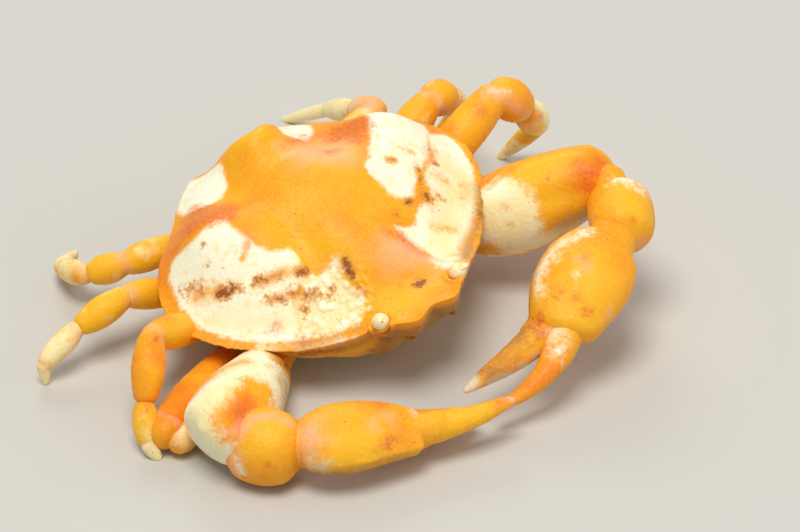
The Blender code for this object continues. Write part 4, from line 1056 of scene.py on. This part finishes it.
class Nodes:
    """Short hands for building a material's nodes."""

    def __init__(self, name):
        self.material = bpy.data.materials.new(name)
        self.material.use_nodes = True
        self.tree = self.material.node_tree
        self.shader = self.tree.nodes["Principled BSDF"]

    def add(self, kind, settings=None, inputs=None):
        node = self.tree.nodes.new(kind)
        for key, value in (settings or {}).items():
            setattr(node, key, value)
        for key, value in (inputs or {}).items():
            self.feed(node.inputs[key], value)
        return node

    def feed(self, socket, value):
        if isinstance(value, bpy.types.NodeSocket):
            self.tree.links.new(value, socket)
        else:
            socket.default_value = value

    def maths(self, operation, *values):
        return self.add("ShaderNodeMath", {"operation": operation}, dict(enumerate(values))).outputs[0]

    def noise(self, where, scale, detail=2.0, rough=0.5):
        inputs = {"Vector": where, "Scale": scale, "Detail": detail, "Roughness": rough}
        return self.add("ShaderNodeTexNoise", None, inputs).outputs["Fac"]

    def step(self, value, low, high):
        inputs = {"Value": value, "From Min": low, "From Max": high}
        return self.add("ShaderNodeMapRange", {"interpolation_type": "SMOOTHSTEP"}, inputs).outputs["Result"]

    def blend(self, factor, first, second):
        node = self.add("ShaderNodeMix", {"data_type": "RGBA"})
        self.feed(node.inputs[0], factor)
        for socket, colour in ((node.inputs[6], first), (node.inputs[7], second)):
            self.feed(socket, colour if isinstance(colour, bpy.types.NodeSocket) else (*colour, 1))
        return node.outputs[2]

    def within(self, mark, wobble, softness=0.1):
        """1 inside a mark and 0 outside it, its edge moved by a wobble and softened, in millimetres."""
        inside = self.maths("ADD", self.maths("MULTIPLY_ADD", mark, 2.0, -1.0), wobble)
        return self.step(inside, -softness, softness)

    def share(self, factor, amount):
        return self.maths("MULTIPLY", factor, amount)

    def millimetres(self):
        """Places on the piece in millimetres."""
        where = self.add("ShaderNodeTexCoord").outputs["Object"]
        scale = self.add("ShaderNodeVectorMath", {"operation": "SCALE"}, {0: where, "Scale": 1 / MM})
        return scale.outputs[0]

    def marks(self, attribute):
        colour = self.add("ShaderNodeAttribute", {"attribute_name": attribute}).outputs["Color"]
        return self.add("ShaderNodeSeparateColor", None, {0: colour}).outputs

    def dress(self, colour, fine, roughness, height, strength, depth):
        """Feeds the shader its colour, a roughness between two values, and bump as deep as depth, in mm."""
        low, high = roughness
        rough = self.add("ShaderNodeMapRange", None,
                         {"Value": fine, "To Min": low, "To Max": high}).outputs[0]
        bump = self.add("ShaderNodeBump", None,
                        {"Height": height, "Strength": strength, "Distance": depth * MM})
        for name, value in (("Base Color", colour), ("Roughness", rough), ("Normal", bump.outputs["Normal"])):
            self.feed(self.shader.inputs[name], value)

    def fix(self, values):
        """Sets constants on the shader's own sockets."""
        for name, value in values.items():
            self.shader.inputs[name].default_value = value


def specks(nodes, where, scale, share, size):
    """Small round specks on a share of the cells of a pattern with scale cells to the millimetre."""
    cell = nodes.add("ShaderNodeTexVoronoi", None, {"Vector": where, "Scale": scale, "Randomness": 1.0})
    chosen = nodes.add("ShaderNodeSeparateColor", None, {0: cell.outputs["Color"]}).outputs[0]
    near = nodes.step(cell.outputs["Distance"], size, size * 0.5)
    return nodes.maths("MULTIPLY", near, nodes.maths("LESS_THAN", chosen, share))


def shell_colour(nodes, where, fine):
    """The colour of the shell: layers over its orange, from its marks and from noise of several sizes."""
    mark = {}
    for attribute, kinds in MARK_LAYERS.items():
        mark.update(zip(kinds, nodes.marks(attribute)))
    broad = nodes.noise(where, 0.5, 3.0)
    middle = nodes.noise(where, 1.9, 4.0, 0.6)
    stipple = nodes.noise(where, 15.0, 2.0, 0.6)
    gentle = nodes.maths("MULTIPLY_ADD", middle, 0.5, -0.25)
    ragged = nodes.maths("ADD", gentle, nodes.maths("MULTIPLY_ADD", fine, 0.24, -0.12))
    uneven = nodes.maths("ADD", gentle, nodes.maths("MULTIPLY_ADD", fine, 0.4, -0.18))
    core = nodes.maths("ADD", uneven, -0.11)
    mottled = nodes.maths("MULTIPLY_ADD", nodes.step(fine, 0.42, 0.58), 0.4, 0.45)
    dots = specks(nodes, where, 9.0, 0.6, 0.32)

    def laid(colour, *layers):
        """The colour with layers over it: where each lies, how strong it is, and its paint."""
        for place, strength, paint in layers:
            colour = nodes.blend(nodes.share(place, strength), colour, paint)
        return colour

    cream = laid(
        PALE,
        (nodes.step(middle, 0.53, 0.68), 0.65, PALE_WARM),
        (nodes.step(fine, 0.55, 0.8), 0.25, PALE_WARM),
        (nodes.step(stipple, 0.53, 0.62), 0.3, PALE_WARM),
        (nodes.within(mark["warm"], gentle, 0.25), 0.7, PALE_WARM),
    )
    return laid(
        nodes.blend(nodes.step(broad, 0.3, 0.7), ORANGE, ORANGE_LIGHT),
        (nodes.step(fine, 0.45, 0.75), 0.25, YELLOW),
        (nodes.step(stipple, 0.5, 0.6), 0.4, YELLOW),
        (nodes.step(stipple, 0.46, 0.38), 0.35, ORANGE_DEEP),
        (nodes.within(mark["yellow"], gentle, 0.25), 0.8, YELLOW),
        (nodes.within(mark["peach"], gentle, 0.3), 0.85, PEACH),
        (nodes.within(mark["deep"], gentle, 0.25), 0.75, ORANGE_DEEP),
        (nodes.within(mark["pale"], ragged, 0.14), 1.0, cream),
        (nodes.within(mark["pink"], gentle, 0.2), 0.6, PINK),
        (nodes.within(mark["red"], ragged, 0.22), mottled, RED),
        (nodes.within(mark["brown"], uneven, 0.07), 0.85, OCHRE),
        (nodes.within(mark["brown"], core, 0.05), 0.85, BROWN),
        # Painted shade: dark brown laid over the orange where the shade mark lies.
        (nodes.within(mark["film"], ragged, 0.3), 0.72, PAINTED_SHADE_COLOUR),
        (nodes.within(mark["chalk"], gentle, 0.15), 0.85, CHALK),
        (nodes.step(mark["grain"], 0.6, 1.0), 0.1, PALE_WARM),
        (specks(nodes, where, 5.5, 0.22, 0.22), 0.25, SPECK),
        (nodes.maths("MULTIPLY", dots, nodes.within(mark["speck"], ragged, 0.4)), 0.6, SPECK),
        (specks(nodes, where, 1.7, 0.07, 0.1), 0.5, BROWN),
    )


def shell_material():
    nodes = Nodes("crab_shell")
    where = nodes.millimetres()
    fine = nodes.noise(where, 7.0, 3.0, 0.6)
    pores = nodes.noise(where, 14.0, 2.0, 0.6)
    height = nodes.maths("ADD", pores, fine)
    nodes.dress(shell_colour(nodes, where, fine), fine, (0.4, 0.6), height, 0.5, 0.02)
    nodes.fix({
        "Specular IOR Level": 0.28,
        "Subsurface Weight": 0.25,
        "Subsurface Radius": (1.0, 0.5, 0.2),
        "Subsurface Scale": 0.3 * MM,
        "Coat Weight": 0.05,
        "Coat Roughness": 0.3,
    })
    return nodes.material


def eye_material(side):
    nodes = Nodes(f"crab_eye_{SIDES[side]}")
    where = nodes.millimetres()
    pupil = nodes.marks("marks_a")[2]
    ring = nodes.marks("marks_b")[1]
    fine = nodes.noise(where, 9.0, 3.0)
    colour = nodes.blend(nodes.step(fine, 0.3, 0.7), EYE_AMBER, EYE_CREAM)
    colour = nodes.blend(nodes.share(nodes.step(ring, 0.45, 0.6), 0.5), colour, YELLOW)
    colour = nodes.blend(nodes.step(pupil, 0.45, 0.55), colour, EYE_BLACK)
    nodes.dress(colour, fine, (0.28, 0.42), fine, 0.2, 0.01)
    nodes.fix({"Subsurface Weight": 0.3, "Subsurface Scale": 0.2 * MM, "Coat Weight": 0.15})
    return nodes.material


SHELL = shell_material()


# Pieces.


def push_out_of_ball(points, centre, radius):
    """Points inside a ball moved to its surface, which leaves a round pit."""
    away = points - centre
    far = np.linalg.norm(away, axis=1)
    inside = far < radius
    points = points.copy()
    points[inside] = centre + away[inside] / far[inside, None] * radius
    return points


def bead_field(points):
    return smooth_step(-0.4, 0.5, stroke_field(points[:, :2], BEADED_REACH, BEADED))


def back_marks(points, depth, beads, bead_height):
    """Colour marks of the shield, from places in the crab's frame."""
    flat = points[:, :2]
    count = len(points)
    marks = neutral_marks(count)
    for kind, patches in (("pale", PALE_PATCHES), ("red", RED_PATCHES), ("peach", PEACH_PATCHES),
                          ("yellow", YELLOW_PATCHES)):
        marks[kind] = widest([outline_field(flat, outline) for outline in patches], count)
    marks["red"] = marks["red"] / RED_SOFTNESS + 0.1
    add_strokes(marks, flat, BACK_STROKES)
    marks["yellow"] = np.maximum(marks["yellow"] / PATCH_SOFTNESS, beads - 0.6)
    marks["peach"] = marks["peach"] / PATCH_SOFTNESS
    marks["pale"] -= beads * (BEAD_GROUND - bead_height) * 0.5
    marks["warm"] = np.maximum(marks["warm"], beads * (BEAD_TOP - bead_height) - 0.2)
    for kind in marks:
        marks[kind] = np.where(depth > BACK_MARKS_END, -1.0, marks[kind])
    marks["pale"] = np.maximum(marks["pale"], (depth - UNDER_PALE_START) / 2)
    marks["yellow"] = np.maximum(marks["yellow"], np.where(depth > 0.5, 0.05, -1.0))
    # Painted shade over the front face under the margin, between the eyes.
    face = np.minimum(FACE_SHADE_TOP - points[:, 2], FACE_SHADE_HALF_WIDTH - np.abs(points[:, 0]))
    on_face = (points[:, 1] < FACE_SHADE_Y) & (depth > 0)
    marks["film"] = np.maximum(marks["film"], np.where(on_face, face, -1.0))
    add_strokes(marks, points, SPACE_MARKS["carapace"])
    return marks


def face_relief(points, depth):
    """Heights of the groove under the front margin and of the lobe below it, on each side of the mouth."""
    away = np.degrees(np.abs(np.arctan2(points[:, 0], -points[:, 1])))
    beside = smooth_step(*LOBE_RISE, away) * smooth_step(*LOBE_FALL, away)
    groove = np.exp(-((depth - GROOVE_STEP) / GROOVE_SPREAD) ** 2) * smooth_step(*GROOVE_END, away)
    lobe = np.exp(-((depth - LOBE_STEP) / LOBE_SPREAD) ** 4) * beside
    return LOBE_HEIGHT * lobe - GROOVE_DEPTH * groove


def build_shield():
    points, faces, share, depth = shield_shape()
    for side in SIDES:
        points = push_out_of_ball(points, side_of(EYE, side), EYE_RADIUS + SOCKET_GAP)
    mesh = mesh_of("carapace_shell", points, faces)
    normals = normals_of(mesh)
    height, grain = fine_relief(points)
    coarse = granules(points, BEAD_SPACING, 21)
    small = granules(points, MARGIN_GRAIN_SPACING, 33, MARGIN_GRAIN_FILL)
    beads = bead_field(points) * (depth < 0.5)
    near_margin = smooth_step(0.88, 0.97, share) * smooth_step(1.0, 0.4, depth)
    near_margin *= smooth_step(3.5, 0.5, points[:, 1]) * smooth_step(-6.3, -5.4, points[:, 1])
    height += coarse * BEAD_HEIGHT * beads + small * MARGIN_GRAIN_HEIGHT * near_margin
    height += face_relief(points, depth)
    for side in SIDES:
        rim = np.linalg.norm(points - side_of(EYE, side), axis=1) - EYE_RADIUS - SOCKET_RIM_OUT
        height += SOCKET_RIM_HEIGHT * np.exp(-(rim / SOCKET_RIM_SPREAD) ** 2)
    marks = back_marks(points, depth, beads, coarse)
    grain = np.maximum(grain * (1 - beads), small * near_margin)
    set_points(mesh, stand(points + normals * height[:, None]))
    finish_piece("carapace_shell", mesh, "carapace", marks, grain, SHELL)


def build_plain(name, node, shapes, voxel, smoothing, paint=None, relief=1.0):
    """A piece of shell from closed shapes in the standing frame. paint changes its marks from its places."""
    mesh = one_skin(name, shapes, voxel, smoothing)
    points = points_of(mesh)
    crab_points = unstand(points)
    height, grain = fine_relief(crab_points, relief)
    height = height + ridges(node, crab_points)
    marks = neutral_marks(len(points))
    if paint:
        paint(marks, crab_points, points)
    add_strokes(marks, crab_points, SPACE_MARKS.get(node, ()))
    set_points(mesh, points + normals_of(mesh) * height[:, None])
    finish_piece(name, mesh, node, marks, grain, SHELL)


def build_eye(side):
    centre = side_of(EYE, side)
    inwards = unit(side_of(STALK_UNDER_SHELL, side))
    end = centre + inwards * (EYE_RADIUS + EYE_STALK_LENGTH)
    shapes = [standing(ball(centre, EYE_RADIUS)),
              standing(segment(centre, end, (EYE_STALK_RADIUS,) * 3, up=(0, 1, 0.3)))]
    mesh = one_skin(f"eyeball_{SIDES[side]}", shapes, EYE_VOXEL, 4)
    points = unstand(points_of(mesh))
    marks = neutral_marks(len(points))
    away = np.linalg.norm(points - centre - unit(side_of(EYE_LOOK, side)) * EYE_RADIUS, axis=1)
    marks["brown"] = (PUPIL_RADIUS - away) * 8
    marks["yellow"] = away - EYE_RADIUS * EYE_RING_SHARE
    finish_piece(f"eyeball_{SIDES[side]}", mesh, f"eye_{SIDES[side]}", marks,
                 np.zeros(len(points)), eye_material(side))


def breast_shape():
    stations = spline([(y, half, 0) for y, half in BREAST], np.linspace(0, len(BREAST) - 1, 60))
    edge, low = BREAST_BOTTOM + BREAST_EDGE + BREAST_CROWN, BREAST_BOTTOM + BREAST_CROWN
    rings = []
    for y, half, _ in stations:
        half_ring = [(half, BREAST_TOP), (half, edge), (half - BREAST_EDGE, low), (half * 0.4, BREAST_BOTTOM)]
        corners = half_ring + [(-x, z) for x, z in reversed(half_ring)]
        rings.append(np.array([(x, y, z) for x, z in corners]))
    return closed_rings(rings[0].mean(0, keepdims=True), rings, rings[-1].mean(0, keepdims=True))


def tail_shape():
    places = np.linspace(0, len(TAIL_PATH) - 1, 72)
    path = spline(TAIL_PATH, places)
    half = spline([(w, 0, 0) for w in TAIL_HALF_WIDTHS], places)[:, 0]
    pinch = 1 - 0.09 * np.exp(-((places * 1.2) % 1 / 0.09) ** 2)
    ends = np.sqrt(np.clip(np.minimum(places, places[::-1]) / 0.35, 0.05, 1))
    return tube(path, half * pinch * ends, TAIL_HALF_THICKNESS * pinch * ends, np.array([0, 0.2, 1.0]))


def mouth_shape(side):
    rows = spline(MOUTH, np.linspace(0, len(MOUTH) - 1, 40))
    rings = []
    for y, half, z in rows:
        inner, top = MOUTH_GAP / 4, z + MOUTH_THICKNESS
        corners = [(inner, z - 0.1), (half * 0.3, z - 0.18), (half * 0.5, z - 0.16), (half * 0.6, z + 0.02),
                   (half * 0.72, z - 0.06), (half * 0.85, z - 0.1), (half, z + 0.08), (half, top),
                   (inner, top)]
        rings.append(np.array([(side * x, y, height) for x, height in corners]))
    return closed_rings(rings[0].mean(0, keepdims=True), rings, rings[-1].mean(0, keepdims=True))


def build_underside():
    build_plain("breast_shell", "breastplate", [standing(breast_shape())], 0.07, 6,
                lambda marks, crab, place: marks.update(pale=np.full(len(crab), 0.6)))
    build_plain("tail_shell", "tail", [standing(tail_shape())], 0.06, 3,
                lambda marks, crab, place: marks.update(pale=np.full(len(crab), 0.4)))
    for side, word in SIDES.items():
        build_plain(f"mouth_shell_{word}", f"mouthpart_{word}", [standing(mouth_shape(side))],
                    0.045, 3)
        feeler = segment(side_of(FEELER_ROOT, side), side_of(FEELER_TIP, side),
                         (FEELER_RADIUS * 0.9, FEELER_RADIUS * 0.7, FEELER_RADIUS * 0.25), 0.3)
        # The feelers are painted dark all over with painted shade, where they sit under the front margin.
        build_plain(f"feeler_shell_{word}", f"feeler_{word}", [standing(feeler)], 0.03, 3,
                    lambda marks, crab, place: marks.update(film=np.full(len(crab), 0.25)), 0.4)


def finger_shape(points, radii):
    """A tapered finger along points, with radii at shares of its length."""
    places = np.linspace(0, len(points) - 1, LIMB_RINGS)
    path = spline(points, places)
    share = places / places[-1]
    wide = np.interp(share, *zip(*radii))
    for end in ((1 - share) / 0.03, share / 0.13):
        wide = wide * np.sqrt(1 - (1 - np.clip(end, 0, 1)) ** 2)
    return tube(path, wide, wide * FINGER_FLATNESS, np.array([0, 0, 1.0]))


def teeth(points, radii, side_way):
    """Low rounded teeth along the cutting edge of a finger."""
    places = np.linspace(*TOOTH_PLACES)
    path = spline(points, places * (len(points) - 1))
    wide = np.interp(places, *zip(*radii))
    shapes = []
    for k, (centre, half) in enumerate(zip(path, wide)):
        size = TOOTH_RADIUS * (0.8 + 0.5 * ((k * 7) % 3) / 2) * (0.5 + half)
        shapes.append(ball(centre + unit(np.array(side_way, float)) * (half - size * 0.7), size, 12, 8))
    return shapes


def neck(start, end, radius):
    """The soft skin of a joint, as a short round rod."""
    return segment(start, end, (radius,) * 3)


def heel(side):
    """The thick root of the fixed finger, which runs on from the palm."""
    first, second = (np.array(p, float) for p in FIXED_FINGER[side][:2])
    back, on = HEEL_REACH
    return segment(grown(first, second, back), grown(second, first, on), HEEL_RADII, 0.35, HEEL_FLATNESS)


def paint_arm(marks, crab, place):
    marks["warm"] = clouds(crab, 1.4, 90) * 0.5 + 0.04


def build_arm(side):
    word = SIDES[side]
    root, palm_start, palm_end = (side_of(p, side) for p in (ARM_ROOT, PALM_START, PALM_END))
    middle, elbow, wrist = (np.array(places[side]) for places in (ARM_MIDDLE, ELBOW, WRIST))
    along = unit(palm_start - elbow) * WRIST_HALF_LENGTH * WRIST_STRETCH
    inside_palm = palm_end + (palm_start - palm_end) * PALM_NECK_AT
    arm = [segment(root, grown(middle, root, ARM_OVERLAP[0]), ARM_ROOT_RADII),
           segment(grown(middle, elbow, ARM_OVERLAP[1]), grown(elbow, middle, ARM_PAST_ELBOW[side]),
                   ARM_RADII[side], ARM_PEAK[side], bow=ARM_BOW[side]),
           neck(root, root + side_of(ARM_NECK_WAY, side), ARM_NECK)]
    carpus = [segment(wrist - along, wrist + along, WRIST_RADII[side]), neck(wrist, elbow, ELBOW_NECK)]
    palm = [segment(grown(palm_start, palm_end, JOINT_OVERLAP), palm_end, PALM_RADII[side], PALM_PEAK[side],
                    PALM_FLATNESS, bow=side_of(PALM_BOW[side], side), caps=PALM_CAPS),
            neck(palm_start + (palm_end - palm_start) * PALM_NECK_AT, wrist, WRIST_NECK[side]), heel(side),
            finger_shape(FIXED_FINGER[side], FIXED_FINGER_RADII)]
    palm += [ball(centre, radius) for centre, radius in HAND_LOBES[side]]
    palm += teeth(FIXED_FINGER[side], FIXED_FINGER_RADII, CUTTING_WAY[side])
    finger = [finger_shape(MOVING_FINGER[side], MOVING_FINGER_RADII),
              neck(np.array(MOVING_FINGER[side][1]), inside_palm, FINGER_NECK[side])]
    finger += teeth(MOVING_FINGER[side], MOVING_FINGER_RADII, -np.array(CUTTING_WAY[side]))
    for part, shapes, slot, voxel, smoothing, paint in (
            ("arm", arm, "shell_cream", LIMB_VOXEL, 4, paint_arm),
            ("wrist", carpus, "shell_orange", LIMB_VOXEL, 4, None),
            ("hand", palm, "shell_orange", LIMB_VOXEL, 16, None),
            ("finger", finger, "shell_orange", LIMB_VOXEL * 0.8, 3, None)):
        shapes = [standing(shape) for shape in shapes]
        build_plain(f"{part}_shell_{word}", f"{part}_{word}", shapes, voxel, smoothing, paint)


def build_leg(side, leg):
    word = SIDES[side]
    row = LEGS[leg]
    size = row["size"]
    knee, wrist, ankle = (np.array(p, float) for p in row[word][:3])
    tip = np.array([*row[word][3], 0.0])
    edge = np.interp(row["hip_y"], [y for y, _ in BREAST], [half for _, half in BREAST])
    hip = stand(side_of((edge + HIP_GAP, row["hip_y"], HIP_Z), side))[0]
    thigh = stand(side_of(row["thigh"], side))[0]
    radii = {part: tuple(radius * size * (1 if part == "hip" else row["girth"][side]) for radius in of)
             for part, of in LEG_RADII.items()}
    inwards = unit(hip - stand(side_of((edge - 1, row["hip_y"], HIP_Z + HIP_RISE), side))[0])
    over = LEG_OVERLAPS
    upper = [
        neck(hip, hip - inwards * HIP_NECK_LENGTH, LEG_RADII["hip"][0] * LEG_NECK_SHARE),
        segment(grown(hip, thigh, over["hip"][0]), grown(thigh, hip, over["hip"][1] * size), radii["hip"]),
        segment(grown(thigh, knee, over["thigh"][0] * size), grown(knee, thigh, over["thigh"][1] * size),
                radii["thigh"], 0.6),
        segment(grown(knee, wrist, over["knee"][0] * size), grown(wrist, knee, over["knee"][1] * size),
                radii["knee"]),
    ]
    lower = [
        neck(grown(wrist, knee, -0.5), grown(wrist, ankle, -0.6), radii["shin"][0] * LEG_NECK_SHARE),
        segment(grown(wrist, ankle, over["shin"][0]), grown(ankle, wrist, over["shin"][1] * size),
                radii["shin"], 0.45),
        segment(grown(ankle, tip, over["toe"][0] * size), grown(tip, ankle, over["toe"][1]),
                radii["toe"], 0.2),
    ]

    def paint_upper(marks, crab, place):
        for joint in (thigh, knee):
            marks["pink"] = np.maximum(marks["pink"],
                                       (0.08 - np.abs((place - joint) @ unit(knee - thigh))) / 2)
        marks["deep"] = clouds(crab, 1.6, 40 + leg) * 0.4 - LEG_LIGHTNESS[leg] - 0.1
        marks["yellow"] = clouds(crab, 1.4, 60 + leg) * 0.4 + LEG_LIGHTNESS[leg] - 0.1
        marks["pale"] = clouds(crab, 0.6, 80 + leg) * 0.25 + LEG_LIGHTNESS[leg] / 4 - 0.32
        marks["warm"] = np.full(len(crab), 1.0)

    def paint_lower(marks, crab, place):
        marks["yellow"] = 0.3 + clouds(crab, 1.3, 50 + leg) * 0.5
        marks["pale"] = clouds(crab, 1.1, 70 + leg) * 0.25 - 0.12 + LEG_LIGHTNESS[leg] / 3
        marks["warm"] = clouds(crab, 0.8, 95 + leg) * 0.3 + 0.35
        marks["red"] = (0.32 - np.linalg.norm(place - wrist, axis=1)) / 2
        marks["pink"] = (0.2 - np.linalg.norm(place - ankle, axis=1)) / 2
        marks["pale"] = np.maximum(marks["pale"], (1.0 - np.linalg.norm(place - tip, axis=1)) / 3)

    for part, shapes, slot, paint in (("upper", upper, "shell_orange", paint_upper),
                                      ("lower", lower, "shell_cream", paint_lower)):
        name = f"leg_{leg + 1}_{part}"
        build_plain(f"{name}_shell_{word}", f"{name}_{word}", shapes, LEG_VOXEL, 4, paint)


# Stage.

VIEW_AZIMUTH = math.radians(-40)
VIEW_HEIGHT = math.radians(35.4)
VIEW_DISTANCE = 200.0
PIXEL = 0.0425
FRAME_MIDDLE = (400, 266)
BODY_PIXEL = (326, 237)
FRAME_WIDTH = 800
SENSOR_WIDTH = 36
FLOOR_HALF = 1.5
FLOOR_COLOURS = ((0.57, 0.55, 0.5), (0.61, 0.59, 0.54))
# Each light's name, place and size in millimetres, power and colour.
LIGHTS = (
    ("key", (-60, -40, 230), 120, 0.4, (1, 0.985, 0.95)),
    ("fill", (150, -160, 120), 160, 0.11, (0.98, 0.99, 1)),
    ("rim", (90, 170, 150), 110, 0.12, (1, 1, 1)),
)
WORLD_COLOUR = (0.95, 0.97, 1, 1)
WORLD_STRENGTH = 0.4


def build_camera():
    right = Vector((math.cos(VIEW_AZIMUTH), math.sin(VIEW_AZIMUTH), 0))
    level = math.cos(VIEW_HEIGHT)
    back = Vector((math.sin(VIEW_AZIMUTH) * level, -math.cos(VIEW_AZIMUTH) * level, math.sin(VIEW_HEIGHT)))
    up = back.cross(right)
    place = Vector((OFFSET[0], OFFSET[1], BODY_HEIGHT))
    across, down = FRAME_MIDDLE[0] - BODY_PIXEL[0], FRAME_MIDDLE[1] - BODY_PIXEL[1]
    place = place + right * across * PIXEL - up * down * PIXEL
    place += back * VIEW_DISTANCE
    camera = bpy.data.objects.new("camera", bpy.data.cameras.new("camera"))
    bpy.context.scene.collection.objects.link(camera)
    camera.matrix_world = Matrix.Translation(place * MM) @ Matrix((right, up, back)).transposed().to_4x4()
    camera.data.sensor_width = SENSOR_WIDTH
    camera.data.lens = SENSOR_WIDTH * VIEW_DISTANCE / (FRAME_WIDTH * PIXEL)
    camera.data.clip_start = 10 * MM
    camera.data.clip_end = 10
    bpy.context.scene.camera = camera


def area_light(name, place, size, energy, colour):
    light = bpy.data.lights.new(name, "AREA")
    light.shape = "DISK"
    light.size = size * MM
    light.energy = energy
    light.color = colour
    thing = bpy.data.objects.new(name, light)
    bpy.context.scene.collection.objects.link(thing)
    thing.location = Vector(place) * MM
    thing.rotation_euler = Vector(place).to_track_quat("Z", "Y").to_euler()


def build_stage():
    mesh = bpy.data.meshes.new("floor")
    half = FLOOR_HALF
    mesh.from_pydata([(-half, -half, 0), (half, -half, 0), (half, half, 0), (-half, half, 0)], [],
                     [(0, 1, 2, 3)])
    nodes = Nodes("floor")
    shade = nodes.blend(nodes.noise(nodes.millimetres(), 0.05, 2.0), *FLOOR_COLOURS)
    nodes.feed(nodes.shader.inputs["Base Color"], shade)
    nodes.fix({"Roughness": 0.85})
    mesh.materials.append(nodes.material)
    floor = bpy.data.objects.new("floor", mesh)
    bpy.context.scene.collection.objects.link(floor)
    for light in LIGHTS:
        area_light(*light)
    world = bpy.data.worlds.new("studio")
    bpy.context.scene.world = world
    world.use_nodes = True
    world.node_tree.nodes["Background"].inputs["Color"].default_value = WORLD_COLOUR
    world.node_tree.nodes["Background"].inputs["Strength"].default_value = WORLD_STRENGTH


def build_crab():
    build_shield()
    build_underside()
    for side in SIDES:
        build_eye(side)
        build_arm(side)
        for leg in range(len(LEGS)):
            build_leg(side, leg)


bpy.context.scene.view_settings.view_transform = "Standard"
build_camera()
build_crab()
build_stage()
